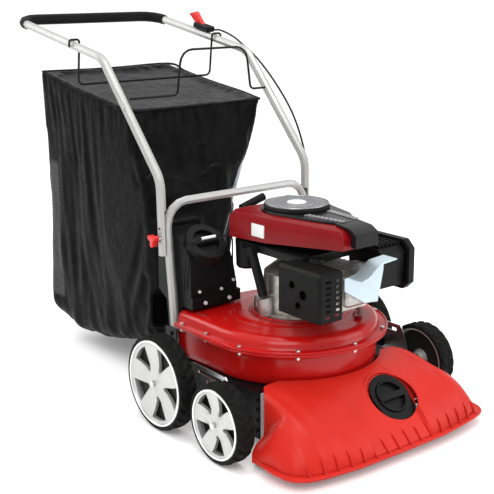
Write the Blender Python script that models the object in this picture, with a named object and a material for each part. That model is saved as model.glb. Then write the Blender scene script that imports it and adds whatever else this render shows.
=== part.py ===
"""Walk-behind leaf vacuum mulcher with a petrol engine, modelled as separate pieces.

Metres, +Z up.  +X is the operator's left, -Y is forward (the nozzle), +Y is back (the handle).
The origin lies on the ground, under the middle of the machine's bounding box.
"""
import math

import bmesh
import bpy
from mathutils import Matrix, Vector

# ---------------------------------------------------------------- driving dimensions
GAP = 0.0005                    # clearance between pieces that touch

REAR_AXLE = (-0.205, 0.127)     # y, z of the rear axle
REAR_R = 0.127                  # 10 inch rear wheels
FRONT_AXLE = (-0.465, 0.101)    # y, z of the front stub axles, nozzle at its lowest setting
FRONT_R = 0.101                 # 8 inch front wheels
WHEEL_OUTER_X = 0.379           # outer face of every tyre
TYRE_W = 0.052
TREAD_DEPTH = 0.0125            # radial thickness of the tyre band
WHEEL_FACETS = 24
AXLE_R = 0.006

CRANK = (0.0, -0.331)           # x, y of the vertical crankshaft
DRUM = (0.0, -0.305)            # x, y of the middle of the impeller housing
DRUM_BOTTOM = 0.147
DRUM_SEAM = 0.2405              # joint between the two halves of the impeller housing
DRUM_TOP = 0.283
DRUM_R = 0.2345
FLANGE_R = 0.262
EYE_R = 0.072                   # intake hole in the housing's floor
SHEET = 0.0035                  # housing wall
OUTLET_X = (-0.240, -0.075)     # inner and outer side of the discharge outlet
OUTLET_Y = -0.1245              # rear end of the outlet

PLATE_X = 0.236                 # inner face of the chassis side plates
PLATE_T = 0.004
SHELF_TOP = DRUM_BOTTOM - GAP
ARM_X = 0.307                   # inner face of the front wheel arms
ARM_T = 0.004
SLEEVE_R = 0.011

LEG_X = 0.2404                  # centreline of the lower frame
LEG_R = 0.0115
LEG_PATH = ((-0.112, 0.1505), (-0.098, 0.326), (-0.083, 0.477), (-0.085, 0.566))
LEG_BEND = 0.060

HANDLE_X = 0.254                # centreline of the upper handle
HANDLE_R = 0.0125
HANDLE_PATH = ((-0.080, 0.424), (-0.075, 0.628), (0.197, 0.931), (0.700, 1.022))
HANDLE_BEND = 0.075
GRIP_BEND = 0.060
GRIP_R = 0.0165
FOLD_AXIS = (-0.084, 0.472)     # y, z of the knob bolts that the handle folds about
FLAT_TOP = 0.545                # the handle's tubes are flattened below this height
FLAT_FACE_X = LEG_X + LEG_R + 0.0012

ENGINE_BASE = DRUM_TOP + GAP
SHROUD_BOTTOM = 0.470
SHROUD_TOP = 0.556
SCREEN_TOP = 0.574
SCREEN_R = 0.087

MOUTH_Z = 0.018                 # lower edge of the nozzle
MOUTH_HALF = 0.325              # half the nozzle's width
HOOD_REAR_Y = -0.4715
HOOD_WALL = 0.004
DUCT_HALF = 0.095
PORT_CENTRE = (0.052, -0.632, 0.112)
PORT_TILT = math.radians(48)    # lean of the port's axis above the horizontal
PORT_R = 0.046

BAG_HALF = 0.235
BAG_WALL = 0.006
NECK_Y = -0.012                 # front edge of the bag's neck
SHIFT_Y = 0.0156                # puts the origin under the middle of the machine

CLEAR_ROUND = 12                # sides of holes that turn on shafts


# ---------------------------------------------------------------- modelling helpers
def clear_scene():
    for obj in list(bpy.data.objects):
        bpy.data.objects.remove(obj, do_unlink=True)


def material(name, colour, roughness, metallic=0.0):
    mat = bpy.data.materials.new(name)
    mat.use_nodes = True
    shader = mat.node_tree.nodes["Principled BSDF"]
    shader.inputs["Base Color"].default_value = (*colour, 1.0)
    shader.inputs["Roughness"].default_value = roughness
    shader.inputs["Metallic"].default_value = metallic
    mat.diffuse_color = (*colour, 1.0)
    return mat


def new_object(name, bm):
    """Turns a bmesh, given in world coordinates, into a linked object."""
    bmesh.ops.recalc_face_normals(bm, faces=bm.faces)
    mesh = bpy.data.meshes.new(name)
    bm.to_mesh(mesh)
    bm.free()
    obj = bpy.data.objects.new(name, mesh)
    bpy.context.scene.collection.objects.link(obj)
    return obj


def finish(obj, mat, origin=(0.0, 0.0, 0.0), angle=35):
    """Gives an object its material, its origin and smooth shading with sharp edges."""
    obj.data.materials.clear()
    obj.data.materials.append(mat)
    obj.data.transform(Matrix.Translation(-Vector(origin)))
    obj.location = origin
    obj.data.shade_smooth()
    obj.data.set_sharp_from_angle(angle=math.radians(angle))
    return obj


def evaluated_mesh(obj):
    bpy.context.view_layer.update()
    graph = bpy.context.evaluated_depsgraph_get()
    return bpy.data.meshes.new_from_object(obj.evaluated_get(graph))


def combine(base, tool, operation="UNION"):
    """Applies a Boolean of the tool to the base and removes the tool."""
    modifier = base.modifiers.new("combine", "BOOLEAN")
    modifier.operation = operation
    modifier.solver = "EXACT"
    modifier.object = tool
    mesh = evaluated_mesh(base)
    base.modifiers.clear()
    base.data = mesh
    bpy.data.objects.remove(tool, do_unlink=True)
    return base


def cut(base, *tools):
    for tool in tools:
        combine(base, tool, "DIFFERENCE")
    return base


def fuse(base, *tools):
    for tool in tools:
        combine(base, tool)
    return base


def mirrored(obj, name):
    """A copy of an object on the other side of the machine's middle plane."""
    bm = bmesh.new()
    bm.from_mesh(obj.data)
    bmesh.ops.scale(bm, vec=(-1, 1, 1), verts=bm.verts)
    return new_object(name, bm)


def place(axis, a, b, along):
    """A point from its two coordinates across an axis and the one along it."""
    if axis == "X":
        return (along, a, b)
    if axis == "Y":
        return (a, along, b)
    return (a, b, along)


def prism(name, outline, axis, lo, hi):
    """An outline, in the plane across an axis, extruded from lo to hi."""
    bm = bmesh.new()
    face = bm.faces.new([bm.verts.new(place(axis, a, b, lo)) for a, b in outline])
    grown = bmesh.ops.extrude_face_region(bm, geom=[face])
    moved = [v for v in grown["geom"] if isinstance(v, bmesh.types.BMVert)]
    bmesh.ops.translate(bm, verts=moved, vec=place(axis, 0, 0, hi - lo))
    return new_object(name, bm)


def box(name, lo, hi):
    outline = [(lo[0], lo[1]), (hi[0], lo[1]), (hi[0], hi[1]), (lo[0], hi[1])]
    return prism(name, outline, "Z", lo[2], hi[2])


def soft_box(name, lo, hi, radius, segments=2):
    """A box with rounded edges."""
    bm = bmesh.new()
    bmesh.ops.create_cube(bm, size=1.0)
    size = [h - l for l, h in zip(lo, hi)]
    middle = [(h + l) / 2 for l, h in zip(lo, hi)]
    bmesh.ops.scale(bm, vec=size, verts=bm.verts)
    bmesh.ops.translate(bm, vec=middle, verts=bm.verts)
    bmesh.ops.bevel(bm, geom=bm.edges[:], offset=radius, segments=segments,
                    profile=0.5, affect="EDGES")
    return new_object(name, bm)


def circle(cx, cy, r, n, start=0.0):
    step = 2 * math.pi / n
    return [(cx + r * math.cos(start + i * step), cy + r * math.sin(start + i * step))
            for i in range(n)]


def arc(cx, cy, r, first, last, n):
    """Points along an arc, angles in degrees."""
    turns = [math.radians(first + (last - first) * i / n) for i in range(n + 1)]
    return [(cx + r * math.cos(t), cy + r * math.sin(t)) for t in turns]


def rounded_rect(cx, cy, w, h, r, n=3):
    x, y = w / 2 - r, h / 2 - r
    corners = ((x, y, 0), (-x, y, 90), (-x, -y, 180), (x, -y, 270))
    return [p for dx, dy, a in corners for p in arc(cx + dx, cy + dy, r, a, a + 90, n)]


def rod(name, start, end, radius, sides=12, end_radius=None):
    """A cylinder or a cone between two points."""
    start, end = Vector(start), Vector(end)
    span = end - start
    bm = bmesh.new()
    bmesh.ops.create_cone(bm, cap_ends=True, segments=sides, radius1=radius,
                          radius2=radius if end_radius is None else end_radius,
                          depth=span.length)
    turn = span.to_track_quat("Z", "Y").to_matrix().to_4x4()
    bmesh.ops.transform(bm, matrix=Matrix.Translation((start + end) / 2) @ turn,
                        verts=bm.verts)
    return new_object(name, bm)


def lathe(name, profile, centre, axis, segments, phase=0.0):
    """A closed profile of (radius, height) points turned about an axis through centre."""
    bm = bmesh.new()
    rings = []
    for r, h in profile:
        if r < 1e-6:
            rings.append([bm.verts.new(place(axis, 0, 0, h))])
            continue
        ring = circle(0, 0, r, segments, phase)
        rings.append([bm.verts.new(place(axis, a, b, h)) for a, b in ring])
    for one, two in zip(rings, rings[1:] + rings[:1]):
        for i in range(segments):
            j = (i + 1) % segments
            quad = [one[i % len(one)], one[j % len(one)], two[j % len(two)], two[i % len(two)]]
            corners = list(dict.fromkeys(quad))
            if len(corners) > 2:
                bm.faces.new(corners)
    bmesh.ops.translate(bm, vec=centre, verts=bm.verts)
    return new_object(name, bm)


def fillet(points, radii, steps=5):
    """A path whose inner corners are replaced by arcs."""
    path = [Vector(points[0])]
    for before, corner, after, radius in zip(points, points[1:], points[2:], radii):
        before, corner, after = Vector(before), Vector(corner), Vector(after)
        one, two = (before - corner).normalized(), (after - corner).normalized()
        half = one.angle(two) / 2
        reach = radius / math.tan(half)
        centre = corner + (one + two).normalized() * radius / math.sin(half)
        first = (corner + one * reach - centre).normalized()
        last = (corner + two * reach - centre).normalized()
        path += [centre + first.slerp(last, i / steps) * radius for i in range(steps + 1)]
    path.append(Vector(points[-1]))
    return path


def pipe(name, points, radius, resolution=2):
    """A round bar or tube along a path, as a bevelled curve with filled ends."""
    curve = bpy.data.curves.new(name, "CURVE")
    curve.dimensions = "3D"
    curve.bevel_depth = radius
    curve.bevel_resolution = resolution
    curve.use_fill_caps = True
    spline = curve.splines.new("POLY")
    spline.points.add(len(points) - 1)
    for knot, point in zip(spline.points, points):
        knot.co = (*point, 1.0)
    obj = bpy.data.objects.new(name, curve)
    bpy.context.scene.collection.objects.link(obj)
    return obj


def solid_pipe(name, points, radius, resolution=2):
    """A pipe turned into a mesh, for Booleans."""
    obj = pipe(name, points, radius, resolution)
    mesh = evaluated_mesh(obj)
    bpy.data.objects.remove(obj, do_unlink=True)
    bm = bmesh.new()
    bm.from_mesh(mesh)
    bmesh.ops.remove_doubles(bm, verts=bm.verts, dist=1e-6)
    return new_object(name, bm)


def tube(name, path, radius, wall=0.0015):
    """A bent tube with open ends."""
    over = 0.004
    first = path[0] + (path[0] - path[1]).normalized() * over
    last = path[-1] + (path[-1] - path[-2]).normalized() * over
    bore = solid_pipe("bore", [first] + list(path[1:-1]) + [last], radius - wall, 1)
    return cut(solid_pipe(name, path, radius, 2), bore)


def smooth_path(points, steps=6):
    """Points read from a Catmull-Rom curve through the given points."""
    knots = [Vector(p) for p in points]
    knots = [2 * knots[0] - knots[1]] + knots + [2 * knots[-1] - knots[-2]]
    path = []
    for a, b, c, d in zip(knots, knots[1:], knots[2:], knots[3:]):
        for i in range(steps):
            t = i / steps
            path.append(0.5 * (2 * b + (c - a) * t + (2 * a - 5 * b + 4 * c - d) * t * t
                               + (3 * b - a - 3 * c + d) * t ** 3))
    path.append(knots[-2])
    return path


def hexagon(name, centre, axis, across, height, sign=1):
    """A hexagon bolt head or nut standing on a face, outward along the axis."""
    step = [0, 0, 0]
    step["XYZ".index(axis)] = sign * height
    return rod(name, centre, [c + s for c, s in zip(centre, step)], across / 2, 6)


# ---------------------------------------------------------------- wheels
def wheel_pair(label, axle, radius, mats):
    """A tyre and a five-spoked rim on each side of the machine."""
    facet = math.pi / WHEEL_FACETS
    outer = radius / math.cos(facet)
    rim_r = radius - TREAD_DEPTH
    half = TYRE_W / 2
    tyre_profile = [(rim_r + GAP, -half), (outer - 0.006, -half), (outer, -half + 0.007),
                    (outer, half - 0.007), (outer - 0.006, half), (rim_r + GAP, half)]
    for side, sign in (("left", 1), ("right", -1)):
        centre = (sign * (WHEEL_OUTER_X - half), *axle)
        tyre = lathe(f"{label}_tyre_{side}", tyre_profile, centre, "X", WHEEL_FACETS, facet)
        finish(tyre, mats["tyre"], centre)
        rim = spoked_rim(f"{label}_rim_{side}", centre, rim_r, sign)
        finish(rim, mats["rim"], centre)


def spoked_rim(name, centre, rim_r, sign):
    """Barrel, hub and five spokes, with the spokes at the outer face."""
    half = TYRE_W / 2
    bore = AXLE_R + 0.0008
    barrel = [(rim_r - 0.004, -half + 0.002), (rim_r, -half + 0.002), (rim_r, half),
              (rim_r - 0.008, half), (rim_r - 0.012, half - 0.006),
              (rim_r - 0.004, half - 0.010)]
    hub = [(bore, -half + 0.004), (0.018, -half + 0.004), (0.022, half - 0.012),
           (0.017, half - 0.001), (bore, half - 0.001)]
    rim = lathe(name, [(r, sign * h) for r, h in barrel], centre, "X", WHEEL_FACETS,
                math.pi / WHEEL_FACETS)
    fuse(rim, lathe("hub", [(r, sign * h) for r, h in hub], centre, "X", CLEAR_ROUND))
    near, far = centre[0] + sign * (half - 0.011), centre[0] + sign * (half - 0.003)
    for i in range(5):
        turn = math.radians(90 + 72 * i)
        spoke = [(0.014, -0.010), (0.014, 0.010), (rim_r - 0.006, 0.022),
                 (rim_r - 0.006, -0.022)]
        outline = [(centre[1] + u * math.cos(turn) - v * math.sin(turn),
                    centre[2] + u * math.sin(turn) + v * math.cos(turn)) for u, v in spoke]
        fuse(rim, prism("spoke", outline, "X", min(near, far), max(near, far)))
    return rim


def rear_axle(mats):
    """A steel shaft with a nut on each end, inside the hubs' recesses."""
    end = WHEEL_OUTER_X - 0.0005
    axle = rod("rear_axle", (-end + 0.004, *REAR_AXLE), (end - 0.004, *REAR_AXLE), AXLE_R)
    for sign in (-1, 1):
        fuse(axle, rod("nut", (sign * (end - 0.0004), *REAR_AXLE),
                       (sign * (end + 0.006), *REAR_AXLE), 0.009, 6))
        fuse(axle, rod("stud", (sign * (end - 0.006), *REAR_AXLE),
                       (sign * (end + 0.002), *REAR_AXLE), AXLE_R))
    finish(axle, mats["zinc"])


def front_cradle(mats):
    """The sleeve on the rear axle welded to the two arms that carry the front wheels."""
    y, z = REAR_AXLE
    fy, fz = FRONT_AXLE
    cradle = rod("front_cradle", (-ARM_X - 0.001, y, z), (ARM_X + 0.001, y, z), SLEEVE_R,
                 CLEAR_ROUND)
    outline = (arc(y, z, 0.019, -60, 90, 5) + [(-0.275, 0.176), (-0.285, 0.194)]
               + [(-0.424, 0.194), (-0.434, 0.176)] + arc(fy, fz, 0.018, 60, 240, 6)
               + [(-0.400, 0.088), (-0.260, 0.100)])
    for sign in (1, -1):
        lo, hi = sorted((sign * ARM_X, sign * (ARM_X + ARM_T)))
        arm = prism("arm", outline, "X", lo, hi)
        slot = rounded_rect(-0.360, 0.178, 0.100, 0.010, 0.0045)
        cut(arm, prism("slot", slot, "X", lo - 0.01, hi + 0.01), clamp_slot(lo, hi))
        end = WHEEL_OUTER_X
        fuse(arm, rod("stub", (sign * (ARM_X + 0.001), fy, fz), (sign * (end + 0.002), fy, fz),
                      AXLE_R),
             rod("nut", (sign * (end - 0.0005), fy, fz), (sign * (end + 0.0055), fy, fz),
                 0.009, 6))
        fuse(cradle, arm)
    reach = ARM_X + ARM_T + 0.01
    cut(cradle, rod("bore", (-reach, y, z), (reach, y, z), AXLE_R + 0.0010, CLEAR_ROUND))
    finish(cradle, mats["zinc"], (0, y, z))


CLAMP_RADIUS = 0.150            # from the rear axle to the clamp bolt
CLAMP_ANGLE = 178               # direction of the clamp bolt from the rear axle, degrees
ARM_SWING = 10                  # degrees that the arms can swing down


def clamp_point():
    turn = math.radians(CLAMP_ANGLE)
    return (REAR_AXLE[0] + CLAMP_RADIUS * math.cos(turn),
            REAR_AXLE[1] + CLAMP_RADIUS * math.sin(turn))


def clamp_slot(lo, hi):
    """The curved slot that the clamp bolt stands in; the bolt is at its lower end at rest."""
    half = 0.0055
    y, z = REAR_AXLE
    first, last = CLAMP_ANGLE + 2.2, CLAMP_ANGLE - ARM_SWING - 2.2
    outline = (arc(y, z, CLAMP_RADIUS + half, first, last, 4)
               + arc(y, z, CLAMP_RADIUS - half, last, first, 4))
    return prism("slot", outline, "X", lo - 0.01, hi + 0.01)


# ---------------------------------------------------------------- chassis
def side_plates(mats):
    """Black side plates with a shelf under the impeller housing and an ear for the frame leg."""
    y, z = REAR_AXLE
    foot_x = LEG_X + LEG_R + GAP
    outer = PLATE_X + PLATE_T
    web = [(-0.075, 0.100), (-0.075, SHELF_TOP), (-0.469, SHELF_TOP), (-0.469, 0.025),
           (-0.430, 0.025), (-0.400, 0.080), (-0.300, 0.090)]
    shelf = [(0.100, -0.075), (foot_x + 0.004, -0.075), (foot_x + 0.004, -0.140),
             (PLATE_X + 0.002, -0.150), (PLATE_X + 0.002, -0.460), (0.160, -0.460),
             (0.100, -0.420)]
    left = prism("side_plate_left", web, "X", PLATE_X, outer)
    fuse(left, prism("shelf", shelf, "Z", SHELF_TOP - 0.004, SHELF_TOP),
         box("ear", (foot_x, -0.135, SHELF_TOP - 0.002), (foot_x + 0.004, -0.085, 0.230)))
    cy, cz = clamp_point()
    bracket = box("bracket", (outer - 0.002, cy - 0.013, cz - 0.011), (0.3035, cy + 0.013, cz + 0.010))
    cut(bracket, box("hollow", (outer - 0.01, cy - 0.02, cz - 0.007), (0.2995, cy + 0.02, cz + 0.02)))
    fuse(left, bracket)
    cut(left, rod("hole", (0.22, y, z), (0.26, y, z), SLEEVE_R + 0.0008, CLEAR_ROUND))
    for z in (0.126, 0.102, 0.074, 0.046):
        fuse(left, hexagon("bolt", (outer - 0.001, -0.459, z), "X", 0.010, 0.005))
    fuse(left, hexagon("bolt", (foot_x + 0.003, -0.110, 0.212), "X", 0.013, 0.006))
    right = mirrored(left, "side_plate_right")
    for plate in (left, right):
        finish(plate, mats["black_steel"])


def lower_frame(mats):
    """The silver U-shaped tube that stands on the chassis and carries the handle."""
    left = [(LEG_X, y, z) for y, z in LEG_PATH]
    right = [(-x, y, z) for x, y, z in reversed(left)]
    radii = [0.3, 0.3, LEG_BEND, LEG_BEND, 0.3, 0.3]
    path = fillet(left + right, radii, 4)
    frame = tube("lower_frame", path, LEG_R)
    finish(frame, mats["tube"])


# ---------------------------------------------------------------- impeller housing
def drum_solid(name, profile, outlet_z, outlet_x, reach):
    """A turned drum joined to the straight outlet on its right-hand side."""
    drum = lathe(name, profile, (*DRUM, 0), "Z", 32)
    lo = (outlet_x[0], DRUM[1] - 0.023, outlet_z[0])
    return fuse(drum, box("outlet", lo, (outlet_x[1], reach, outlet_z[1])))


def flange_outline(r, x_side):
    """Round flange whose right-hand side runs straight back beside the outlet."""
    tongue = math.degrees(math.acos((OUTLET_X[1] + 0.020) / r))
    start = math.degrees(math.acos(x_side / r))
    points = arc(*DRUM, r, tongue, -(360 - 180) + (180 - start), 26)
    return points + [(x_side, OUTLET_Y), (OUTLET_X[1] + 0.020, OUTLET_Y)]


def flange_ring(name, r, z0, z1):
    """The bolting flange of one half of the housing."""
    ring = prism(name, flange_outline(r, OUTLET_X[0] - 0.015), "Z", z0, z1)
    return ring


def outlet_trim():
    """Removes what lies behind the outlet's mouth, where the chute begins."""
    return box("trim", (OUTLET_X[0] - 0.03, OUTLET_Y, 0.10), (CHUTE_X[1] + GAP, 0.0, 0.30))


def housing(mats):
    """The lower and upper pressed-steel halves of the impeller housing."""
    t = SHEET
    x0, x1 = OUTLET_X
    lower_out = [(0, DRUM_BOTTOM), (DRUM_R - 0.003, DRUM_BOTTOM), (DRUM_R, DRUM_SEAM - 0.002),
                 (0, DRUM_SEAM - 0.002)]
    lower_in = [(0, DRUM_BOTTOM + t), (DRUM_R - 0.003 - t, DRUM_BOTTOM + t),
                (DRUM_R - t, DRUM_SEAM + 0.01), (0, DRUM_SEAM + 0.01)]
    lower = drum_solid("lower_housing", lower_out, (DRUM_BOTTOM + 0.006, DRUM_SEAM - 0.0025),
                       (x0, x1), OUTLET_Y)
    fuse(lower, flange_ring("flange", FLANGE_R, DRUM_SEAM - 0.0046, DRUM_SEAM - GAP))
    cut(lower, drum_solid("inside", lower_in, (DRUM_BOTTOM + 0.006 + t, DRUM_SEAM + 0.012),
                          (x0 + t, x1 - t), OUTLET_Y + 0.01),
        rod("eye", (*CRANK, DRUM_BOTTOM - 0.01), (*CRANK, DRUM_BOTTOM + 0.01), EYE_R, 24),
        outlet_trim())
    finish(lower, mats["red_steel"])

    top = DRUM_TOP
    upper_out = [(0, DRUM_SEAM + 0.002), (DRUM_R + 0.003, DRUM_SEAM + 0.002),
                 (DRUM_R + 0.001, 0.2600), (DRUM_R - 0.007, 0.2700), (DRUM_R - 0.018, 0.2760),
                 (0.150, top), (0, top)]
    upper_in = [(0, DRUM_SEAM - 0.01), (DRUM_R + 0.003 - t, DRUM_SEAM - 0.01),
                (DRUM_R + 0.001 - t, 0.2600), (DRUM_R - 0.010, 0.2680),
                (DRUM_R - 0.020, 0.2725), (0.150, top - t), (0, top - t)]
    upper = drum_solid("upper_housing", upper_out, (DRUM_SEAM + 0.0025, 0.2742), (x0, x1),
                       OUTLET_Y)
    fuse(upper, flange_ring("flange", FLANGE_R, DRUM_SEAM, DRUM_SEAM + 0.004))
    cut(upper, drum_solid("inside", upper_in, (DRUM_SEAM - 0.012, 0.2742 - t),
                          (x0 + t, x1 - t), OUTLET_Y + 0.01),
        rod("shaft_hole", (*CRANK, top - 0.02), (*CRANK, top + 0.01), 0.040, 24),
        outlet_trim())
    for x, y in flange_bolt_points():
        fuse(upper, hexagon("bolt", (x, y, DRUM_SEAM + 0.003), "Z", 0.012, 0.006))
    finish(upper, mats["red_steel"])


BOLT_ANGLES = (-172, -135, -103, -71, -40, -12, 18, 48, 80)


def flange_bolt_points():
    """Bolt circle of the housing flange; bolts beside the outlet stand on its straight side."""
    r = FLANGE_R - 0.010
    points = []
    for angle in BOLT_ANGLES:
        turn = math.radians(angle)
        x, y = DRUM[0] + r * math.cos(turn), DRUM[1] + r * math.sin(turn)
        points.append((max(x, OUTLET_X[0] - 0.0080), y))
    return points


def clamp_bolts(mats):
    """The bolts that clamp the front wheels' cradle at the chosen nozzle height."""
    cy, cz = clamp_point()
    start, head = 0.3035 + GAP, ARM_X + ARM_T + GAP
    for side, sign in (("left", 1), ("right", -1)):
        bolt = rod(f"clamp_bolt_{side}", (sign * start, cy, cz), (sign * (head + 0.003), cy, cz),
                   0.0040, 8)
        fuse(bolt, rod("head", (sign * head, cy, cz), (sign * (head + 0.0055), cy, cz),
                       0.0085, 6))
        finish(bolt, mats["zinc"])


# ---------------------------------------------------------------- nozzle
def between(x, table):
    """Straight-line reading of a table of (x, value) pairs, the same on both sides."""
    x = abs(x)
    for (x0, v0), (x1, v1) in zip(table, table[1:]):
        if x <= x1:
            return v0 + (v1 - v0) * (x - x0) / (x1 - x0)
    return table[-1][1]


HOOD_TOP = ((0, 0.168), (0.150, 0.167), (0.205, 0.162), (0.250, 0.147), (0.285, 0.124),
            (0.308, 0.094), (MOUTH_HALF, 0.056))
HOOD_CURVE = ((0, 1.35), (0.150, 1.8), (0.250, 3.0), (MOUTH_HALF, 3.2))
HOOD_LIP = ((0, -0.737), (0.150, -0.735), (0.250, -0.722), (0.290, -0.710), (0.315, -0.690),
            (MOUTH_HALF, -0.665))
LIP_TOP = 0.036


def hood_rear(x):
    """Rear edge of the nozzle, in front of the round housing and chamfered at its corners."""
    reach = DRUM_R + 0.009
    rear = between(x, ((0, HOOD_REAR_Y), (0.240, HOOD_REAR_Y), (MOUTH_HALF, -0.545)))
    if abs(x) < reach:
        rear = min(rear, DRUM[1] - math.sqrt(reach * reach - x * x))
    return rear


def hood_point(x, forward, inset):
    """A point of the roof; forward runs from 0 at the rear edge to 1 at the lip."""
    rear, front = hood_rear(x) - inset, between(x, HOOD_LIP) + inset
    slope = 1 - forward ** between(x, HOOD_CURVE)
    slope = slope ** (1.0 if abs(x) < 0.1 else 0.75)
    z = LIP_TOP + (between(x, HOOD_TOP) - LIP_TOP) * slope
    return (x, rear + (front - rear) * forward, z - inset)


def hood_block(name, inset, floor):
    """A closed block under the roof, down to the given floor."""
    places = (0, 0.060, 0.105, 0.150, 0.180, 0.205, 0.230, 0.250, 0.268, 0.285, 0.298, 0.308,
              0.317, MOUTH_HALF)
    squeeze = (MOUTH_HALF - inset) / MOUTH_HALF
    columns = [-x * squeeze for x in places[:0:-1]] + [x * squeeze for x in places]
    rows = (0, 0.20, 0.38, 0.54, 0.68, 0.80, 0.90, 0.96, 1.0)
    bm = bmesh.new()
    grid = [[bm.verts.new(hood_point(x, row, inset)) for row in rows] for x in columns]
    low = [[bm.verts.new((v.co.x, v.co.y, floor)) for v in line] for line in grid]
    last_i, last_j = len(grid) - 1, len(rows) - 1
    for i in range(last_i):
        for j in range(last_j):
            bm.faces.new((grid[i][j], grid[i + 1][j], grid[i + 1][j + 1], grid[i][j + 1]))
    rim = ([(i, 0) for i in range(last_i)] + [(last_i, j) for j in range(last_j)]
           + [(i, last_j) for i in range(last_i, 0, -1)] + [(0, j) for j in range(last_j, 0, -1)])
    for (a, b), (c, d) in zip(rim, rim[1:] + rim[:1]):
        bm.faces.new((grid[a][b], grid[c][d], low[c][d], low[a][b]))
    bm.faces.new([low[a][b] for a, b in rim])
    loose = [v for v in bm.verts if not v.link_faces]
    bmesh.ops.delete(bm, geom=loose, context="VERTS")
    return new_object(name, bm)


def lip_outline():
    """Plan of the flat lip round the front and the sides of the mouth."""
    outer = [(0.300, -0.598), (0.336, -0.604), (0.340, -0.648), (0.330, -0.694),
             (0.305, -0.719), (0.250, -0.733), (0.150, -0.746), (0.0, -0.7475)]
    inner = [(0.0, -0.728), (0.150, -0.726), (0.250, -0.713), (0.300, -0.690)]
    left = outer + inner
    right = [(-x, y) for x, y in reversed(outer[:-1])]
    back = [(-x, y) for x, y in reversed(inner[1:])]
    return outer + right + back + inner


def nozzle(mats):
    """The wide plastic intake hood, its duct to the housing and the boss of the hose port."""
    hood = hood_block("nozzle", 0.0, MOUTH_Z)
    fuse(hood, box("duct", (-DUCT_HALF, -0.600, 0.030), (DUCT_HALF, -0.245, SHELF_TOP)),
         rod("boss", port_point(-0.060), port_point(0), 0.0775, 20),
         prism("lip", lip_outline(), "Z", 0.029, 0.0335))
    cut(hood, rod("port_face", port_point(0), port_point(0.08), 0.0740, 20),
        hood_block("inside", HOOD_WALL, MOUTH_Z - 0.01),
        box("duct_inside", (-DUCT_HALF + 0.003, -0.520, 0.033),
            (DUCT_HALF - 0.003, -0.248, SHELF_TOP - 0.003)),
        rod("eye", (*CRANK, 0.130), (*CRANK, 0.160), EYE_R + 0.002, 20),
        rod("port", port_point(-0.080), port_point(0.02), PORT_R, 20))
    seat = rod("seat", port_point(-0.004), port_point(-0.0002), 0.0765, 20)
    fuse(hood, cut(seat, rod("port", port_point(-0.02), port_point(0.02), PORT_R + 0.0003, 20)))
    finish(hood, mats["orange_plastic"])


def nozzle_skids(mats):
    """Rubber strips under the rear corners of the nozzle."""
    for side, sign in (("left", 1), ("right", -1)):
        lo, hi = sorted((sign * 0.262, sign * 0.306))
        strip = soft_box(f"nozzle_skid_{side}", (lo, -0.575, 0.006), (hi, -0.525, MOUTH_Z - GAP),
                         0.003, 1)
        finish(strip, mats["rubber"])


def port_axis():
    return Vector((0, -math.cos(PORT_TILT), math.sin(PORT_TILT)))


def port_point(depth):
    return Vector(PORT_CENTRE) + port_axis() * depth


def port_frame():
    """Axes of the port's face: across, up the slope, and outward."""
    out = port_axis()
    across = Vector((1, 0, 0))
    return across, out.cross(across), out


def port_prism(name, outline, near, far):
    """An outline in the port's face, extruded along its axis."""
    across, slope, out = port_frame()
    base = Vector(PORT_CENTRE)
    bm = bmesh.new()
    face = bm.faces.new([bm.verts.new(base + across * a + slope * b + out * near)
                         for a, b in outline])
    grown = bmesh.ops.extrude_face_region(bm, geom=[face])
    moved = [v for v in grown["geom"] if isinstance(v, bmesh.types.BMVert)]
    bmesh.ops.translate(bm, verts=moved, vec=out * (far - near))
    return new_object(name, bm)


def hose_port(mats):
    """The black flange of the hose port and the twist-in plug with its grip bar."""
    ring = port_prism("port_flange", arc(0, 0.004, 0.060, -20, 200, 12)
                      + [(-0.050, -0.052), (-0.030, -0.066), (0.034, -0.066), (0.056, -0.045)],
                      GAP, 0.008)
    cut(ring, rod("hole", port_point(-0.01), port_point(0.02), PORT_R + 0.0005, 20))
    fuse(ring, rod("screw", port_point(0.006) + port_frame()[1] * -0.055
                   + Vector((-0.036, 0, 0)), port_point(0.011) + port_frame()[1] * -0.055
                   + Vector((-0.036, 0, 0)), 0.006, 8))
    finish(ring, mats["black_plastic"])
    plug = rod("port_plug", port_point(-0.012), port_point(0.012), PORT_R - 0.0012, 20)
    cut(plug, rod("dish", port_point(0.001), port_point(0.03), PORT_R - 0.006, 20))
    bar = rounded_rect(0, 0, 2 * PORT_R - 0.008, 0.016, 0.006, 2)
    fuse(plug, port_prism("bar", bar, -0.001, 0.014))
    finish(plug, mats["black_plastic"], PORT_CENTRE)


# ---------------------------------------------------------------- discharge chute
ELBOW_FRONT = -0.166
CHUTE_X = (-0.2265, -0.073)
CAP_CENTRE = (-0.167, -0.145, 0.450)
CAP_TILT = math.radians(50)
CAP_R = 0.052


def cap_axis():
    return Vector((0, -math.cos(CAP_TILT), math.sin(CAP_TILT)))


def chute_side(e):
    """Side view of the chute: up from the outlet, then back into the bag's neck."""
    over = 0.01 if e else 0.0
    return [(OUTLET_Y + GAP - over, 0.156 + e), (-0.062 - e, 0.156 + e),
            (-0.050 - e, 0.290 + e * 0.4), (NECK_Y - GAP + over, 0.312 + e),
            (NECK_Y - GAP + over, 0.480 - e), (-0.095, 0.480 - e), (-0.118 + e, 0.472 - e),
            (-0.150 + e, 0.444 - e), (ELBOW_FRONT + e, 0.424 - e), (ELBOW_FRONT + e, 0.286 + e),
            (OUTLET_Y + GAP - over, 0.286 + e)]


def chute_front(e):
    """Front view of the chute, which narrows towards its cap."""
    x0, x1 = CHUTE_X
    return [(x0 + e, 0.14), (x1 - e, 0.14), (x1 - e, 0.335), (x1 - 0.012 - e, 0.400),
            (x1 - 0.030 - e, 0.455), (x1 - 0.042 - e, 0.52), (x0 + e, 0.52)]


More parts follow.
